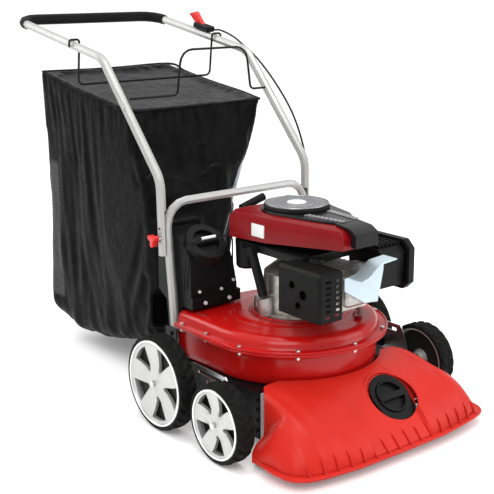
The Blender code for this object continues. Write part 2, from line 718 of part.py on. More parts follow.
def chute_block(name, e):
    side = prism(name, chute_side(e), "X", -0.26, -0.04)
    return combine(side, prism("front", chute_front(e), "Y", -0.30, 0.05), "INTERSECT")


def discharge_chute(mats):
    """The black elbow between the housing's outlet and the bag."""
    x0, x1 = CHUTE_X
    chute = chute_block("discharge_chute", 0.0)
    fuse(chute, box("flange", (x0, ELBOW_FRONT - 0.006, 0.2865), (x1 + 0.008, -0.135, 0.318)))
    centre, out = Vector(CAP_CENTRE), cap_axis()
    fuse(chute, rod("collar", centre - out * 0.022, centre + out * 0.010, CAP_R + 0.005, 20))
    cut(chute, chute_block("inside", 0.003),
        rod("port", centre - out * 0.05, centre + out * 0.03, CAP_R - 0.002, 20))
    for x in (-0.190, -0.110):
        fuse(chute, hexagon("bolt", (x, ELBOW_FRONT - 0.005, 0.302), "Y", 0.011, 0.006, -1))
    finish(chute, mats["black_plastic"])


def chute_cap(mats):
    """The twist-in cap of the elbow with its recessed grip bar."""
    centre, out = Vector(CAP_CENTRE), cap_axis()
    cap = rod("chute_cap", centre - out * 0.006, centre + out * 0.014, CAP_R - 0.003, 20)
    lid = rod("lid", centre + out * (0.010 + GAP), centre + out * 0.020, CAP_R + 0.005, 20)
    fuse(cap, lid)
    cut(cap, rod("dish", centre + out * 0.008, centre + out * 0.03, CAP_R - 0.014, 16))
    bar = rod("bar", centre + out * 0.012 - Vector((CAP_R - 0.010, 0, 0)),
              centre + out * 0.012 + Vector((CAP_R - 0.010, 0, 0)), 0.007, 8)
    fuse(cap, bar)
    finish(cap, mats["black_plastic"], CAP_CENTRE)


BAIL_AXIS = (-0.140, 0.335)     # y, z of the bail's pivots
BAIL_R = 0.0022


def wire_bail(mats):
    """The sprung wire that holds the cap down, hooked into both sides of the chute."""
    y, z = BAIL_AXIS
    x0, x1 = CHUTE_X[0] - 0.004 - BAIL_R, CHUTE_X[1] + 0.004 + BAIL_R

    def over(x, height):
        spot = Vector(CAP_CENTRE) + cap_axis() * height
        return (x, spot.y, spot.z)

    points = [(x0, y, z), over(x0, 0.024), over(CAP_CENTRE[0] - 0.025, 0.034),
              over(CAP_CENTRE[0] + 0.025, 0.034), over(x1 - 0.015, 0.024), (x1, y, z)]
    path = fillet(points, [0.010, 0.03, 0.03, 0.02], 3)
    finish_curve(pipe("wire_bail", path, BAIL_R, 2), mats["zinc"], (0, y, z))


def finish_curve(obj, mat, origin=(0.0, 0.0, 0.0)):
    obj.data.materials.append(mat)
    for spline in obj.data.splines:
        for knot in spline.points:
            knot.co = (*(Vector(knot.co[:3]) - Vector(origin)), 1.0)
    obj.location = origin
    return obj


# ---------------------------------------------------------------- handle
def handle_path():
    left = [(HANDLE_X, y, z) for y, z in HANDLE_PATH]
    right = [(-x, y, z) for x, y, z in reversed(left)]
    radii = [HANDLE_BEND, HANDLE_BEND, GRIP_BEND, GRIP_BEND, HANDLE_BEND, HANDLE_BEND]
    return fillet(left + right, radii, 4)


def upper_handle(mats):
    """The U-shaped handle, flattened at both ends against the lower frame."""
    handle = tube("upper_handle", handle_path(), HANDLE_R)
    y, z = FOLD_AXIS
    for sign in (-1, 1):
        lo, hi = sorted((sign * 0.2, sign * FLAT_FACE_X))
        cut(handle, box("flat", (lo, -0.12, 0.40), (hi, -0.04, FLAT_TOP)),
            rod("bolt_hole", (sign * 0.24, y, z), (sign * 0.29, y, z), 0.0045, 12),
            rod("spare_hole", (sign * 0.24, y + 0.003, z + 0.027),
                (sign * 0.29, y + 0.003, z + 0.027), 0.0040, 8))
    finish(handle, mats["tube"], (0, y, z))


def handle_grip(mats):
    """Black foam over the crossbar and both of its bends."""
    path = [p for p in handle_path() if p.y > 0.62]
    grip = solid_pipe("handle_grip", path, GRIP_R, 2)
    core = solid_pipe("core", handle_path(), HANDLE_R + GAP, 2)
    cut(grip, core)
    finish(grip, mats["foam"], (0, *FOLD_AXIS))


def knob_bolts(mats):
    """The bolts that the handle folds about, each standing out of the lower frame."""
    y, z = FOLD_AXIS
    for side, sign in (("left", 1), ("right", -1)):
        start, end = LEG_X + LEG_R + GAP, HANDLE_X + HANDLE_R + GAP + 0.012
        bolt = rod(f"knob_bolt_{side}", (sign * start, y, z), (sign * end, y, z), 0.0035, 8)
        finish(bolt, mats["zinc"])


def wing_knobs(mats):
    """Red wing knobs outside the handle."""
    y, z = FOLD_AXIS
    for side, sign in (("left", 1), ("right", -1)):
        start = HANDLE_X + HANDLE_R + GAP
        knob = rod(f"wing_knob_{side}", (sign * start, y, z), (sign * (start + 0.020), y, z),
                   0.013, 12, 0.010)
        wing = [(y - 0.009, z), (y - 0.011, z + 0.036), (y + 0.007, z + 0.038), (y + 0.009, z),
                (y + 0.011, z - 0.036), (y - 0.007, z - 0.038)]
        lo, hi = sorted((sign * (start + 0.006), sign * (start + 0.018)))
        fuse(knob, prism("wing", wing, "X", lo, hi))
        cut(knob, rod("bore", (sign * (start - 0.01), y, z), (sign * (start + 0.013), y, z),
                      0.0045, 12))
        finish(knob, mats["red_plastic"], (sign * start, y, z))


HOOK_Y = 0.350                  # where the rear hooks lie over the handle
HOOK_LOW = (0.367, 0.846)       # y, z of the wire's straight middle
ROD_R = 0.0033


def hook_wire(mats):
    """The rear wire: hooked over each handle tube, down, and across above the bag."""
    start, end = HANDLE_PATH[2], HANDLE_PATH[3]
    z = start[1] + (end[1] - start[1]) * (HOOK_Y - start[0]) / (end[0] - start[0])
    off = HANDLE_R + ROD_R + 0.0008
    inner, outer = HANDLE_X - off, HANDLE_X + off
    left = [(outer, HOOK_Y, z - 0.004), (outer, HOOK_Y, z + off + 0.0004),
            (inner, HOOK_Y, z + off + 0.0004), (inner, *HOOK_LOW)]
    right = [(-a, b, c) for a, b, c in reversed(left)]
    path = fillet(left + right, [0.008, 0.008, 0.015, 0.015, 0.008, 0.008], 3)
    finish_curve(pipe("hook_wire", path, ROD_R, 2), mats["black_steel"], (0, *FOLD_AXIS))


ARCH_Y, ARCH_Z = 0.088, 0.826


def arch_wire(mats):
    """The front wire between the handle tubes, with a raised loop for lifting the bag."""
    inner = HANDLE_X - HANDLE_R - ROD_R - 0.001
    top = ARCH_Z + 0.124
    points = [(-inner, ARCH_Y, ARCH_Z), (-0.080, ARCH_Y, ARCH_Z), (-0.064, ARCH_Y, top),
              (0.166, ARCH_Y, top), (0.182, ARCH_Y, ARCH_Z), (inner, ARCH_Y, ARCH_Z)]
    path = fillet(points, [0.015, 0.042, 0.042, 0.015], 4)
    finish_curve(pipe("arch_wire", path, ROD_R, 2), mats["black_steel"], (0, *FOLD_AXIS))


def throttle(mats):
    """The throttle housing on the left tube, and its red lever."""
    direction = Vector((0, 0.503, 0.091)).normalized()
    up = Vector((0, -direction.z, direction.y))
    base = Vector((HANDLE_X, 0.430, 0.9731)) + up * (HANDLE_R + 0.001)
    turn = Matrix((( 1, 0, 0), (0, direction.y, up.y), (0, direction.z, up.z))).to_4x4()

    def placed(name, lo, hi, radius):
        obj = soft_box(name, lo, hi, radius, 1)
        obj.data.transform(Matrix.Translation(base) @ turn)
        return obj

    body = placed("throttle_housing", (-0.016, -0.050, 0.0), (0.016, 0.030, 0.018), 0.004)
    cut(body, placed("lever_slot", (-0.005, -0.040, 0.006), (0.005, 0.026, 0.05), 0.001))
    finish(body, mats["black_plastic"], (0, *FOLD_AXIS))
    pivot = base + turn.to_3x3() @ Vector((0, -0.006, 0.012))
    lever = placed("throttle_lever", (-0.0042, -0.012, 0.008), (0.0042, 0.000, 0.052), 0.002)
    fuse(lever, placed("pad", (-0.010, -0.034, 0.036), (0.010, 0.004, 0.054), 0.004))
    finish(lever, mats["red_plastic"], pivot)


CABLE_R = 0.0028


def throttle_cables(mats):
    """The throttle cable, bowed off the left tube, in two lengths that meet at the fold axis."""
    y, z = FOLD_AXIS
    x = HANDLE_X + HANDLE_R + 0.010
    upper = smooth_path([(0.264, 0.3745, 0.985), (0.270, 0.350, 0.985),
                         (x + 0.003, 0.305, 0.970), (x + 0.005, 0.262, 0.950),
                         (x + 0.006, 0.180, 0.905), (x + 0.005, 0.090, 0.835),
                         (x + 0.003, 0.010, 0.752), (x - 0.002, -0.045, 0.660),
                         (x - 0.004, -0.054, 0.600), (x - 0.004, -0.052, 0.530)], 4)
    finish_curve(pipe("throttle_cable_upper", upper, CABLE_R, 2), mats["rubber"], (0, y, z))
    lower = smooth_path([(0.222, -0.108, 0.470), (0.215, -0.122, 0.440), (0.198, -0.150, 0.425),
                         (0.165, -0.200, 0.430), (0.130, -0.260, 0.440)], 4)
    finish_curve(pipe("throttle_cable_lower", lower, CABLE_R, 2), mats["rubber"])


# ---------------------------------------------------------------- bag
BAG_STATIONS = (
    # y, lowest z, highest z, left edge at the top, middle and bottom, corner radius
    (-0.012, 0.302, 0.492, -0.069, -0.069, -0.069, 0.010),
    (0.012, 0.300, 0.495, -0.066, -0.066, -0.066, 0.012),
    (0.020, 0.180, 0.560, 0.000, 0.020, 0.000, 0.030),
    (0.060, 0.155, 0.680, 0.150, 0.080, 0.060, 0.030),
    (0.108, 0.138, 0.796, 0.236, 0.110, 0.090, 0.030),
    (0.200, 0.110, 0.811, 0.238, 0.180, 0.150, 0.035),
    (0.367, 0.070, 0.833, 0.238, 0.215, 0.190, 0.040),
    (0.500, 0.063, 0.856, 0.236, 0.225, 0.200, 0.040),
    (0.585, 0.100, 0.874, 0.234, 0.225, 0.200, 0.040),
)


def rear_lean(z):
    """How far the bag's rear stands back of its last station, flared at the top."""
    if z > 0.8:
        return 0.020
    return 0.070 * min(0.75, (0.60 - z) * 1.4)


def bag_ring(station, e):
    """One upright section of the bag, seen from behind, as points with a leaning rear."""
    y, z0, z1, top, middle, bottom, r = station
    last = station == BAG_STATIONS[-1]
    x0 = CHUTE_X[0] - 0.004 if y < 0.015 else -BAG_HALF - 0.003
    z0, z1, x0, r = z0 + e, z1 - e, x0 + e, max(r - e, 0.004)
    zm = z0 + (z1 - z0) * 0.62
    points = [(x0, z0 + r), (x0 + r * 0.3, z0 + r * 0.3), (x0 + r, z0),
              (bottom - e - r, z0), (bottom - e - r * 0.3, z0 + r * 0.3), (bottom - e, z0 + r),
              (middle - e, zm), (top - e, z1 - 0.006), (top - e - 0.006, z1),
              (x0 + 0.006, z1), (x0, z1 - 0.006), (x0, zm)]
    shift = -e if last else (-0.01 if e and y < 0.0 else (e if y < 0.1 and e else 0.0))
    return [(x, y + shift + (rear_lean(z) if last else 0.0), z) for x, z in points]


def bag_block(name, e):
    bm = bmesh.new()
    rings = [[bm.verts.new(p) for p in bag_ring(station, e)] for station in BAG_STATIONS]
    for one, two in zip(rings, rings[1:]):
        for i in range(len(one)):
            j = (i + 1) % len(one)
            bm.faces.new((one[i], one[j], two[j], two[i]))
    bm.faces.new(rings[0])
    bm.faces.new(rings[-1])
    return new_object(name, bm)


def bag(mats):
    """The fabric collecting bag, open at its neck."""
    body = bag_block("bag", 0.0)
    cut(body, bag_block("inside", BAG_WALL))
    finish(body, mats["fabric"])


# ---------------------------------------------------------------- engine
def crankcase(mats):
    """The cast aluminium base with the oil filler boss."""
    cx, cy = CRANK
    b = ENGINE_BASE
    profile = [(0, b), (0.108, b), (0.108, b + 0.010), (0.094, b + 0.014), (0.086, b + 0.110),
               (0.060, b + 0.130), (0.030, b + 0.150), (0, b + 0.150)]
    case = lathe("crankcase", profile, (cx, cy, 0), "Z", 28)
    fuse(case, rod("boss", (-0.100, -0.330, b + 0.006), (-0.106, -0.325, b + 0.052), 0.020, 12))
    fuse(case, box("face", (-0.050, -0.4235, 0.325), (0.066, -0.370, 0.440)))
    cut(case, rod("bore", (cx, cy, b - 0.01), (cx, cy, b + 0.2), 0.0135, CLEAR_ROUND))
    cavity = [(0.005, b + 0.008), (0.080, b + 0.008), (0.074, b + 0.100), (0.046, b + 0.125),
              (0.005, b + 0.125)]
    cut(case, lathe("cavity", cavity, (cx, cy, 0), "Z", 16))
    for angle in range(0, 360, 45):
        if angle in (270, 180):
            continue
        turn = math.radians(angle + 10)
        x, y = cx + 0.096 * math.cos(turn), cy + 0.096 * math.sin(turn)
        fuse(case, rod("rib", (x, y, b + 0.004), (cx + 0.086 * math.cos(turn),
                                                 cy + 0.086 * math.sin(turn), b + 0.080),
                       0.006, 6, 0.003))
    finish(case, mats["aluminium"])


def cylinder(mats):
    """The horizontal finned cylinder with its head, pointing forward."""
    cy = DRUM[1]
    block = box("cylinder", (-0.046, cy - 0.225, 0.330), (0.062, cy - 0.119, 0.436))
    for i in range(5):
        y = cy - 0.135 - i * 0.018
        cut(block, frame_ring(y, 0.006))
    finish(block, mats["aluminium"])
    cover = soft_box("valve_cover", (-0.030, cy - 0.252, 0.345), (0.048, cy - 0.2255, 0.422),
                     0.006, 1)
    finish(cover, mats["aluminium"])


def frame_ring(y, width):
    """A rectangular ring that cuts one groove round the cylinder's fins."""
    ring = box("groove", (-0.070, y - width / 2, 0.300), (0.090, y + width / 2, 0.470))
    return cut(ring, box("core", (-0.036, y - width, 0.340), (0.052, y + width, 0.426)))


def spark_plug(mats):
    """The plug's rubber boot, in front of the valve cover."""
    boot = rod("spark_plug", (0.0625, -0.545, 0.378), (0.0905, -0.550, 0.392), 0.008, 10, 0.007)
    finish(boot, mats["rubber"])


def offset(outline, distance):
    """A counter-clockwise outline moved outwards, or inwards for a negative distance."""
    moved = []
    for before, here, after in zip(outline[-1:] + outline, outline, outline[1:] + outline[:1]):
        before, here, after = Vector(before), Vector(here), Vector(after)
        one, two = (here - before).normalized(), (after - here).normalized()
        out = (Vector((one.y, -one.x)) + Vector((two.y, -two.x))).normalized()
        moved.append(tuple(here + out * distance / max(0.5, out.dot(Vector((one.y, -one.x))))))
    return moved


SHROUD_PLAN = [(-0.106, -0.186), (-0.123, -0.202), (-0.119, -0.345), (-0.074, -0.586),
               (0.030, -0.580), (0.078, -0.490), (0.100, -0.345), (0.098, -0.212),
               (0.080, -0.186)]
SHROUD_MIDDLE = (-0.010, -0.345)


def shroud_block(name, e):
    """The blower housing's outside, or its inside when e is the wall."""
    rings = ((SHROUD_BOTTOM - (0.01 if e else 0), 1.0), (SHROUD_TOP - 0.022 - e * 0.3, 1.0),
             (SHROUD_TOP - 0.006 - e * 0.8, 0.93), (SHROUD_TOP - e, 0.80))
    plan = offset(SHROUD_PLAN, -e)
    cx, cy = SHROUD_MIDDLE
    bm = bmesh.new()
    loops = [[bm.verts.new((cx + (x - cx) * k, cy + (y - cy) * k, z)) for x, y in plan]
             for z, k in rings]
    for one, two in zip(loops, loops[1:]):
        for i in range(len(one)):
            j = (i + 1) % len(one)
            bm.faces.new((one[i], one[j], two[j], two[i]))
    bm.faces.new(loops[0])
    bm.faces.new(loops[-1])
    return new_object(name, bm)


def engine_shroud(mats):
    """The red blower housing over the flywheel, open underneath and rising to the front."""
    shroud = shroud_block("engine_shroud", 0.0)
    wedge = [(-0.10, 0.40), (-0.10, 0.474), (-0.343, 0.487), (-0.70, 0.514), (-0.70, 0.40)]
    cut(shroud, rod("filler", (*FILLER, 0.525), (*FILLER, 0.570), 0.0112, 12),
        rod("eye", (*CRANK, 0.530), (*CRANK, 0.575), 0.0705, 24),
        shroud_block("inside", 0.0035), prism("wedge", wedge, "X", -0.2, 0.2),
        box("rope_slot", (PULL_X - 0.006, -0.200, PULL_Z - 0.007),
            (PULL_X + 0.006, -0.170, PULL_Z + 0.007)))
    finish(shroud, mats["red_plastic"])


def top_cover(mats):
    """The black cover on the shroud, with a round seat for the screen and a nose in front."""
    z = SHROUD_TOP + GAP
    cx, cy = CRANK
    outline = arc(cx, cy, SCREEN_R + 0.006, -20, 200, 14) + [(-0.066, -0.470), (-0.040, -0.548),
                                                            (0.012, -0.542), (0.058, -0.470)]
    cover = prism("top_cover", outline, "Z", z, z + 0.007)
    side = [(-0.535, z), (-0.535, z + 0.007), (-0.585, 0.558), (-0.606, 0.546),
            (-0.6085, 0.512), (-0.5895, 0.512), (-0.5895, 0.5385), (-0.5750, 0.5512), (-0.546, z)]
    fuse(cover, prism("nose", side, "X", -0.052, 0.022))
    cut(cover, rod("eye", (cx, cy, z - 0.01), (cx, cy, z + 0.02), 0.068, 24))
    finish(cover, mats["black_plastic"])


def recoil_screen(mats):
    """The recoil starter's cap with its grille face."""
    z = SHROUD_TOP + GAP + 0.008 + GAP
    profile = [(0.030, z - 0.020), (0.064, z - 0.020), (0.066, z), (SCREEN_R, z),
               (SCREEN_R, SCREEN_TOP - 0.003), (SCREEN_R - 0.004, SCREEN_TOP), (0, SCREEN_TOP),
               (0, SCREEN_TOP - 0.004), (0.058, SCREEN_TOP - 0.004), (0.058, z - 0.016),
               (0.030, z - 0.016)]
    finish(lathe("recoil_screen", profile, (*CRANK, 0), "Z", 24), mats["grey_plastic"])


def rotor(mats):
    """Crankshaft, flywheel and impeller, which turn together."""
    cx, cy = CRANK
    shaft = rod("crankshaft", (cx, cy, 0.170), (cx, cy, 0.510), 0.0125, 16)
    finish(shaft, mats["steel"], (cx, cy, 0.3))
    wheel = lathe("flywheel", [(0.0130, 0.474), (0.030, 0.474), (0.070, 0.480), (0.078, 0.480),
                               (0.078, 0.494), (0.030, 0.494), (0.030, 0.506), (0.0130, 0.506)],
                  (cx, cy, 0), "Z", 16)
    finish(wheel, mats["cast_iron"], (cx, cy, 0.3))
    disc = lathe("impeller", [(0.0130, 0.262), (0.190, 0.262), (0.190, 0.258), (0.034, 0.258),
                              (0.026, 0.190), (0.0130, 0.190)], (cx, cy, 0), "Z", 20)
    for i in range(4):
        turn = math.radians(45 + 90 * i)
        blade = [(0.028, -0.002), (0.188, -0.002), (0.188, 0.002), (0.028, 0.002)]
        outline = [(cx + u * math.cos(turn) - v * math.sin(turn),
                    cy + u * math.sin(turn) + v * math.cos(turn)) for u, v in blade]
        fuse(disc, prism("blade", outline, "Z", 0.170, 0.260))
    finish(disc, mats["steel"], (cx, cy, 0.3))


PULL_X, PULL_Z = -0.0428, 0.535


def starter(mats):
    """The recoil starter's grip with its rope, and the pulley that the rope turns."""
    grip = rod("starter_grip", (-0.058, -0.170, 0.541), (0.020, -0.170, 0.563), 0.011, 10)
    rope = rod("rope", (PULL_X, -0.165, PULL_Z), (PULL_X, CRANK[1], PULL_Z), 0.0022, 6)
    neck = rod("neck", (-0.034, -0.170, 0.546), (PULL_X, -0.1815, PULL_Z), 0.010, 8, 0.005)
    fuse(grip, neck, rope)
    finish(grip, mats["rubber"], (PULL_X, -0.170, PULL_Z))
    pulley = lathe("recoil_pulley", [(0.010, 0.526), (0.046, 0.526), (0.040, 0.531),
                                     (0.040, 0.539), (0.046, 0.544), (0.010, 0.544)],
                   (*CRANK, 0), "Z", 16)
    finish(pulley, mats["black_plastic"], (*CRANK, 0.535))


FILLER = (0.066, -0.2225)


def fuel_tank(mats):
    """The black tank: a cross box inside the shroud's rear, with a sump that hangs below."""
    tank = lathe("fuel_tank", [(0, 0.390), (0.024, 0.390), (0.029, 0.396), (0.031, 0.468),
                               (0.022, 0.470), (0.022, 0.490), (0, 0.490)],
                 (-0.075, -0.2145, 0), "Z", 16)
    fuse(tank, box("cross", (-0.100, -0.235, 0.484), (0.084, -0.198, 0.516)),
         rod("neck", (*FILLER, 0.510), (*FILLER, SHROUD_TOP - 0.0005), 0.0095, 12))
    finish(tank, mats["black_plastic"])


def fuel_cap(mats):
    z = SHROUD_TOP + GAP
    cap = lathe("fuel_cap", [(0, z), (0.014, z), (0.016, z + 0.002), (0.016, z + 0.008),
                             (0.013, z + 0.010), (0, z + 0.010)], (*FILLER, 0), "Z", 12)
    finish(cap, mats["black_plastic"], (*FILLER, z))


OIL_LOW, OIL_HIGH = Vector((-0.107, -0.324, 0.338)), Vector((-0.120, -0.296, 0.448))


def oil_filler(mats):
    """The black oil filler tube and its dipstick cap."""
    axis = (OIL_HIGH - OIL_LOW).normalized()
    tube = rod("oil_tube", OIL_LOW + axis * 0.0015, OIL_HIGH, 0.0125, 12)
    cut(tube, rod("bore", OIL_LOW - axis * 0.01, OIL_HIGH + axis * 0.01, 0.009, 12))
    finish(tube, mats["black_plastic"])
    cap = rod("oil_cap", OIL_HIGH + axis * GAP, OIL_HIGH + axis * 0.022, 0.019, 6, 0.017)
    fuse(cap, rod("stick", OIL_HIGH - axis * 0.070, OIL_HIGH + axis * 0.004, 0.0025, 6))
    finish(cap, mats["black_plastic"], OIL_HIGH)


def muffler(mats):
    """The muffler's can and the perforated guard around it."""
    x0, x1, y0, y1, z0, z1 = -0.162, -0.082, -0.601, -0.4435, 0.336, 0.464
    can = soft_box("muffler", (x0 + 0.016, y0 + 0.016, z0 + 0.016), (x1 - 0.004, y1 - 0.016,
                                                                     z1 - 0.020), 0.008, 1)
    finish(can, mats["dark_steel"])
    guard = soft_box("muffler_guard", (x0, y0, z0), (x1, y1, z1), 0.007, 1)
    wall = 0.0025
    cut(guard, soft_box("hollow", (x0 + wall, y0 + wall, z0 - 0.03),
                        (x1 + 0.03, y1 - wall, z1 - wall), 0.005, 1))
    for y, z, r in ((-0.500, 0.420, 0.009), (-0.540, 0.402, 0.012), (-0.522, 0.372, 0.009)):
        cut(guard, rod("hole", (x0 - 0.02, y, z), (x0 + 0.01, y, z), r, 8))
    for i in range(7):
        z = 0.352 + i * 0.0145
        cut(guard, box("slot", (x0 + 0.020, y0 - 0.01, z), (x0 + 0.036, y0 + 0.01, z + 0.007)),
            box("slot", (x0 + 0.050, y0 - 0.01, z), (x0 + 0.066, y0 + 0.01, z + 0.007)))
    finish(guard, mats["dark_steel"])


def heat_deflector(mats):
    """The bent zinc sheet between the muffler and the air cleaner."""
    t = 0.003
    curve = arc(-0.030, 0.478, 0.050, 270, 320, 5) + [(0.036, 0.462), (0.088, 0.466)]
    sheet = prism("heat_deflector", curve + [(x, z - t) for x, z in reversed(curve)], "Y",
                  -0.610, -0.562)
    face = [(-0.030, 0.428), (0.008, 0.437), (0.036, 0.461), (0.088, 0.465), (0.088, 0.428),
            (0.070, 0.347), (0.024, 0.352), (-0.046, 0.395), (-0.046, 0.428)]
    fuse(sheet, prism("face", face, "Y", -0.564, -0.5610))
    finish(sheet, mats["zinc_sheet"])


def air_cleaner(mats):
    """Carburettor, air cleaner box and its hinged cover, on the left-hand side."""
    carb = soft_box("carburettor", (0.064, -0.510, 0.362), (0.0985, -0.455, 0.430), 0.004, 1)
    finish(carb, mats["aluminium"])
    case = prism("air_box", [(-0.540, 0.366), (-0.430, 0.366), (-0.424, 0.452), (-0.440, 0.470),
                             (-0.530, 0.470), (-0.546, 0.454)], "X", 0.100, 0.186)
    cut(case, box("hollow", (0.106, -0.530, 0.378), (0.20, -0.442, 0.458)))
    finish(case, mats["black_plastic"])
    octagon = [(-0.538, 0.352), (-0.424, 0.352), (-0.406, 0.372), (-0.406, 0.464),
               (-0.424, 0.485), (-0.538, 0.485), (-0.560, 0.464), (-0.560, 0.372)]
    cover = prism("air_cover", octagon, "X", 0.186 + GAP, 0.206)
    cut(cover, prism("hollow", [(y * 0.86 - 0.0676, z * 0.86 + 0.0586) for y, z in octagon],
                     "X", 0.18, 0.201))
    finish(cover, mats["black_plastic"], (0.196, -0.48, 0.350))


# ---------------------------------------------------------------- the whole machine
def build():
    clear_scene()
    mats = {
        "red_steel": material("red_steel", (0.62, 0.025, 0.015), 0.25, 0.0),
        "orange_plastic": material("orange_plastic", (0.80, 0.045, 0.025), 0.35),
        "red_plastic": material("red_plastic", (0.50, 0.012, 0.015), 0.30),
        "tube": material("tube", (0.50, 0.50, 0.49), 0.40, 0.6),
        "zinc": material("zinc", (0.70, 0.72, 0.74), 0.30, 1.0),
        "zinc_sheet": material("zinc_sheet", (0.72, 0.77, 0.80), 0.25, 1.0),
        "steel": material("steel", (0.45, 0.45, 0.45), 0.40, 1.0),
        "dark_steel": material("dark_steel", (0.045, 0.045, 0.045), 0.50, 0.5),
        "black_steel": material("black_steel", (0.015, 0.015, 0.016), 0.45),
        "cast_iron": material("cast_iron", (0.20, 0.20, 0.20), 0.60, 0.9),
        "aluminium": material("aluminium", (0.55, 0.54, 0.52), 0.45, 0.9),
        "black_plastic": material("black_plastic", (0.018, 0.018, 0.019), 0.40),
        "grey_plastic": material("grey_plastic", (0.30, 0.31, 0.32), 0.40),
        "rim": material("rim", (0.60, 0.60, 0.60), 0.40),
        "tyre": material("tyre", (0.015, 0.015, 0.015), 0.75),
        "rubber": material("rubber", (0.018, 0.018, 0.018), 0.65),
        "foam": material("foam", (0.015, 0.015, 0.016), 0.85),
        "fabric": material("fabric", (0.012, 0.012, 0.013), 0.70),
    }
    wheel_pair("rear", REAR_AXLE, REAR_R, mats)
    wheel_pair("front", FRONT_AXLE, FRONT_R, mats)
    for piece in (rear_axle, front_cradle, side_plates, lower_frame, clamp_bolts, housing,
                  nozzle, nozzle_skids, hose_port, discharge_chute, chute_cap, wire_bail,
                  upper_handle, handle_grip, knob_bolts, wing_knobs, hook_wire, arch_wire,
                  throttle, throttle_cables, bag, crankcase, cylinder, spark_plug,
                  engine_shroud, top_cover, recoil_screen, rotor, starter, fuel_tank,
                  fuel_cap, oil_filler, muffler, heat_deflector, air_cleaner):
        piece(mats)
    for obj in bpy.data.objects:
        obj.location.y += SHIFT_Y


build()
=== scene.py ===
"""Looks of the walk-behind leaf vacuum mulcher: materials, tyres, rims, bag and small detail.

Metres, in the model's own frame. Pieces are drawn about the machine's measuring point and
moved back by SHIFT, as the CAD source does.
"""
import math

import bmesh
import bpy
from mathutils import Matrix, Vector, noise


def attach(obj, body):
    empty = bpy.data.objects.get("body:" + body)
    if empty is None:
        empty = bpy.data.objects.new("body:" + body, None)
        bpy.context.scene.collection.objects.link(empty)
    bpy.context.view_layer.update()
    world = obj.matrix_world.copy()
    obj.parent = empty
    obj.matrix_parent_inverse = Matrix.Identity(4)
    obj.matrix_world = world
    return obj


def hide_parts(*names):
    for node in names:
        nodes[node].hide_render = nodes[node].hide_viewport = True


SHIFT = 0.0156

REAR_AXLE = (-0.205, 0.127)
REAR_R = 0.127
FRONT_AXLE = (-0.465, 0.101)
FRONT_R = 0.101
WHEEL_OUTER_X = 0.379
TYRE_HALF = 0.026
TREAD_DEPTH = 0.0125
RIM_SOFT = 0.0022       # rounding of the rims' edges
CRANK = (0.0, -0.331)
DRUM = (0.0, -0.305)
DRUM_R = 0.2345
OUTLET_X = (-0.240, -0.075)
OUTLET_Y = -0.1245
PORT_CENTRE = (0.052, -0.632, 0.112)
PORT_TILT = math.radians(48)
PORT_AXIS = Vector((0, -math.cos(PORT_TILT), math.sin(PORT_TILT)))
PORT_R = 0.046
SCREEN_TOP = 0.574
SCREEN_R = 0.087


# ---------------------------------------------------------------- materials
def set_inputs(node, **inputs):
    for name, value in inputs.items():
        node.inputs[name.replace("_", " ")].default_value = value
    return node


def add_node(tree, kind, **inputs):
    return set_inputs(tree.nodes.new(kind), **inputs)


def noise_node(tree, scale, detail=3.0, distortion=0.0):
    where = tree.nodes.new("ShaderNodeTexCoord")
    node = add_node(tree, "ShaderNodeTexNoise", Scale=scale, Detail=detail,
                    Distortion=distortion)
    tree.links.new(where.outputs["Object"], node.inputs["Vector"])
    return node


def remap(tree, source, low, high, start=0.3, end=0.7):
    node = add_node(tree, "ShaderNodeMapRange", From_Min=start, From_Max=end, To_Min=low,
                    To_Max=high)
    tree.links.new(source, node.inputs["Value"])
    return node.outputs["Result"]


def mix_colour(tree, factor, one, two):
    node = tree.nodes.new("ShaderNodeMix")
    node.data_type = "RGBA"
    tree.links.new(factor, node.inputs["Factor"])
    for value, socket in ((one, node.inputs[6]), (two, node.inputs[7])):
        if isinstance(value, tuple):
            socket.default_value = (*value, 1.0)
        else:
            tree.links.new(value, socket)
    return node.outputs[2]


def maths(tree, operation, one, two):
    node = tree.nodes.new("ShaderNodeMath")
    node.operation = operation
    tree.links.new(one, node.inputs[0])
    tree.links.new(two, node.inputs[1])
    return node.outputs[0]


def bump(tree, height, strength, distance, under=None):
    node = add_node(tree, "ShaderNodeBump", Strength=strength, Distance=distance)
    tree.links.new(height, node.inputs["Height"])
    if under is not None:
        tree.links.new(under, node.inputs["Normal"])
    return node.outputs["Normal"]


def scaled(colour, k):
    return tuple(min(1.0, c * k) for c in colour)


def new_material(name):
    mat = bpy.data.materials.new(name)
    mat.use_nodes = True
    return mat, mat.node_tree, mat.node_tree.nodes["Principled BSDF"]


def finish_material(name, colour, roughness, metallic=0.0, vary=0.10, patches=9.0,
                    grain=450.0, relief=0.0001, coat=0.0, specular=0.35, sheen=0.0,
                    spread=0.06):
    """Slow colour drift, fine grain in the roughness and a shallow relief."""
    mat, tree, shader = new_material(name)
    link = tree.links.new
    set_inputs(shader, Metallic=metallic, Specular_IOR_Level=specular, Coat_Weight=coat,
               Coat_Roughness=0.12, Sheen_Weight=sheen, Sheen_Roughness=0.4)
    slow = noise_node(tree, patches, 5.0)
    fine = noise_node(tree, grain, 3.0)
    drift = remap(tree, slow.outputs["Fac"], 0.0, 1.0)
    base = mix_colour(tree, drift, scaled(colour, 1 - vary), scaled(colour, 1 + vary))
    link(base, shader.inputs["Base Color"])
    rough = remap(tree, fine.outputs["Fac"], roughness - spread, roughness + spread)
    link(rough, shader.inputs["Roughness"])
    link(bump(tree, fine.outputs["Fac"], 0.35, relief), shader.inputs["Normal"])
    return mat


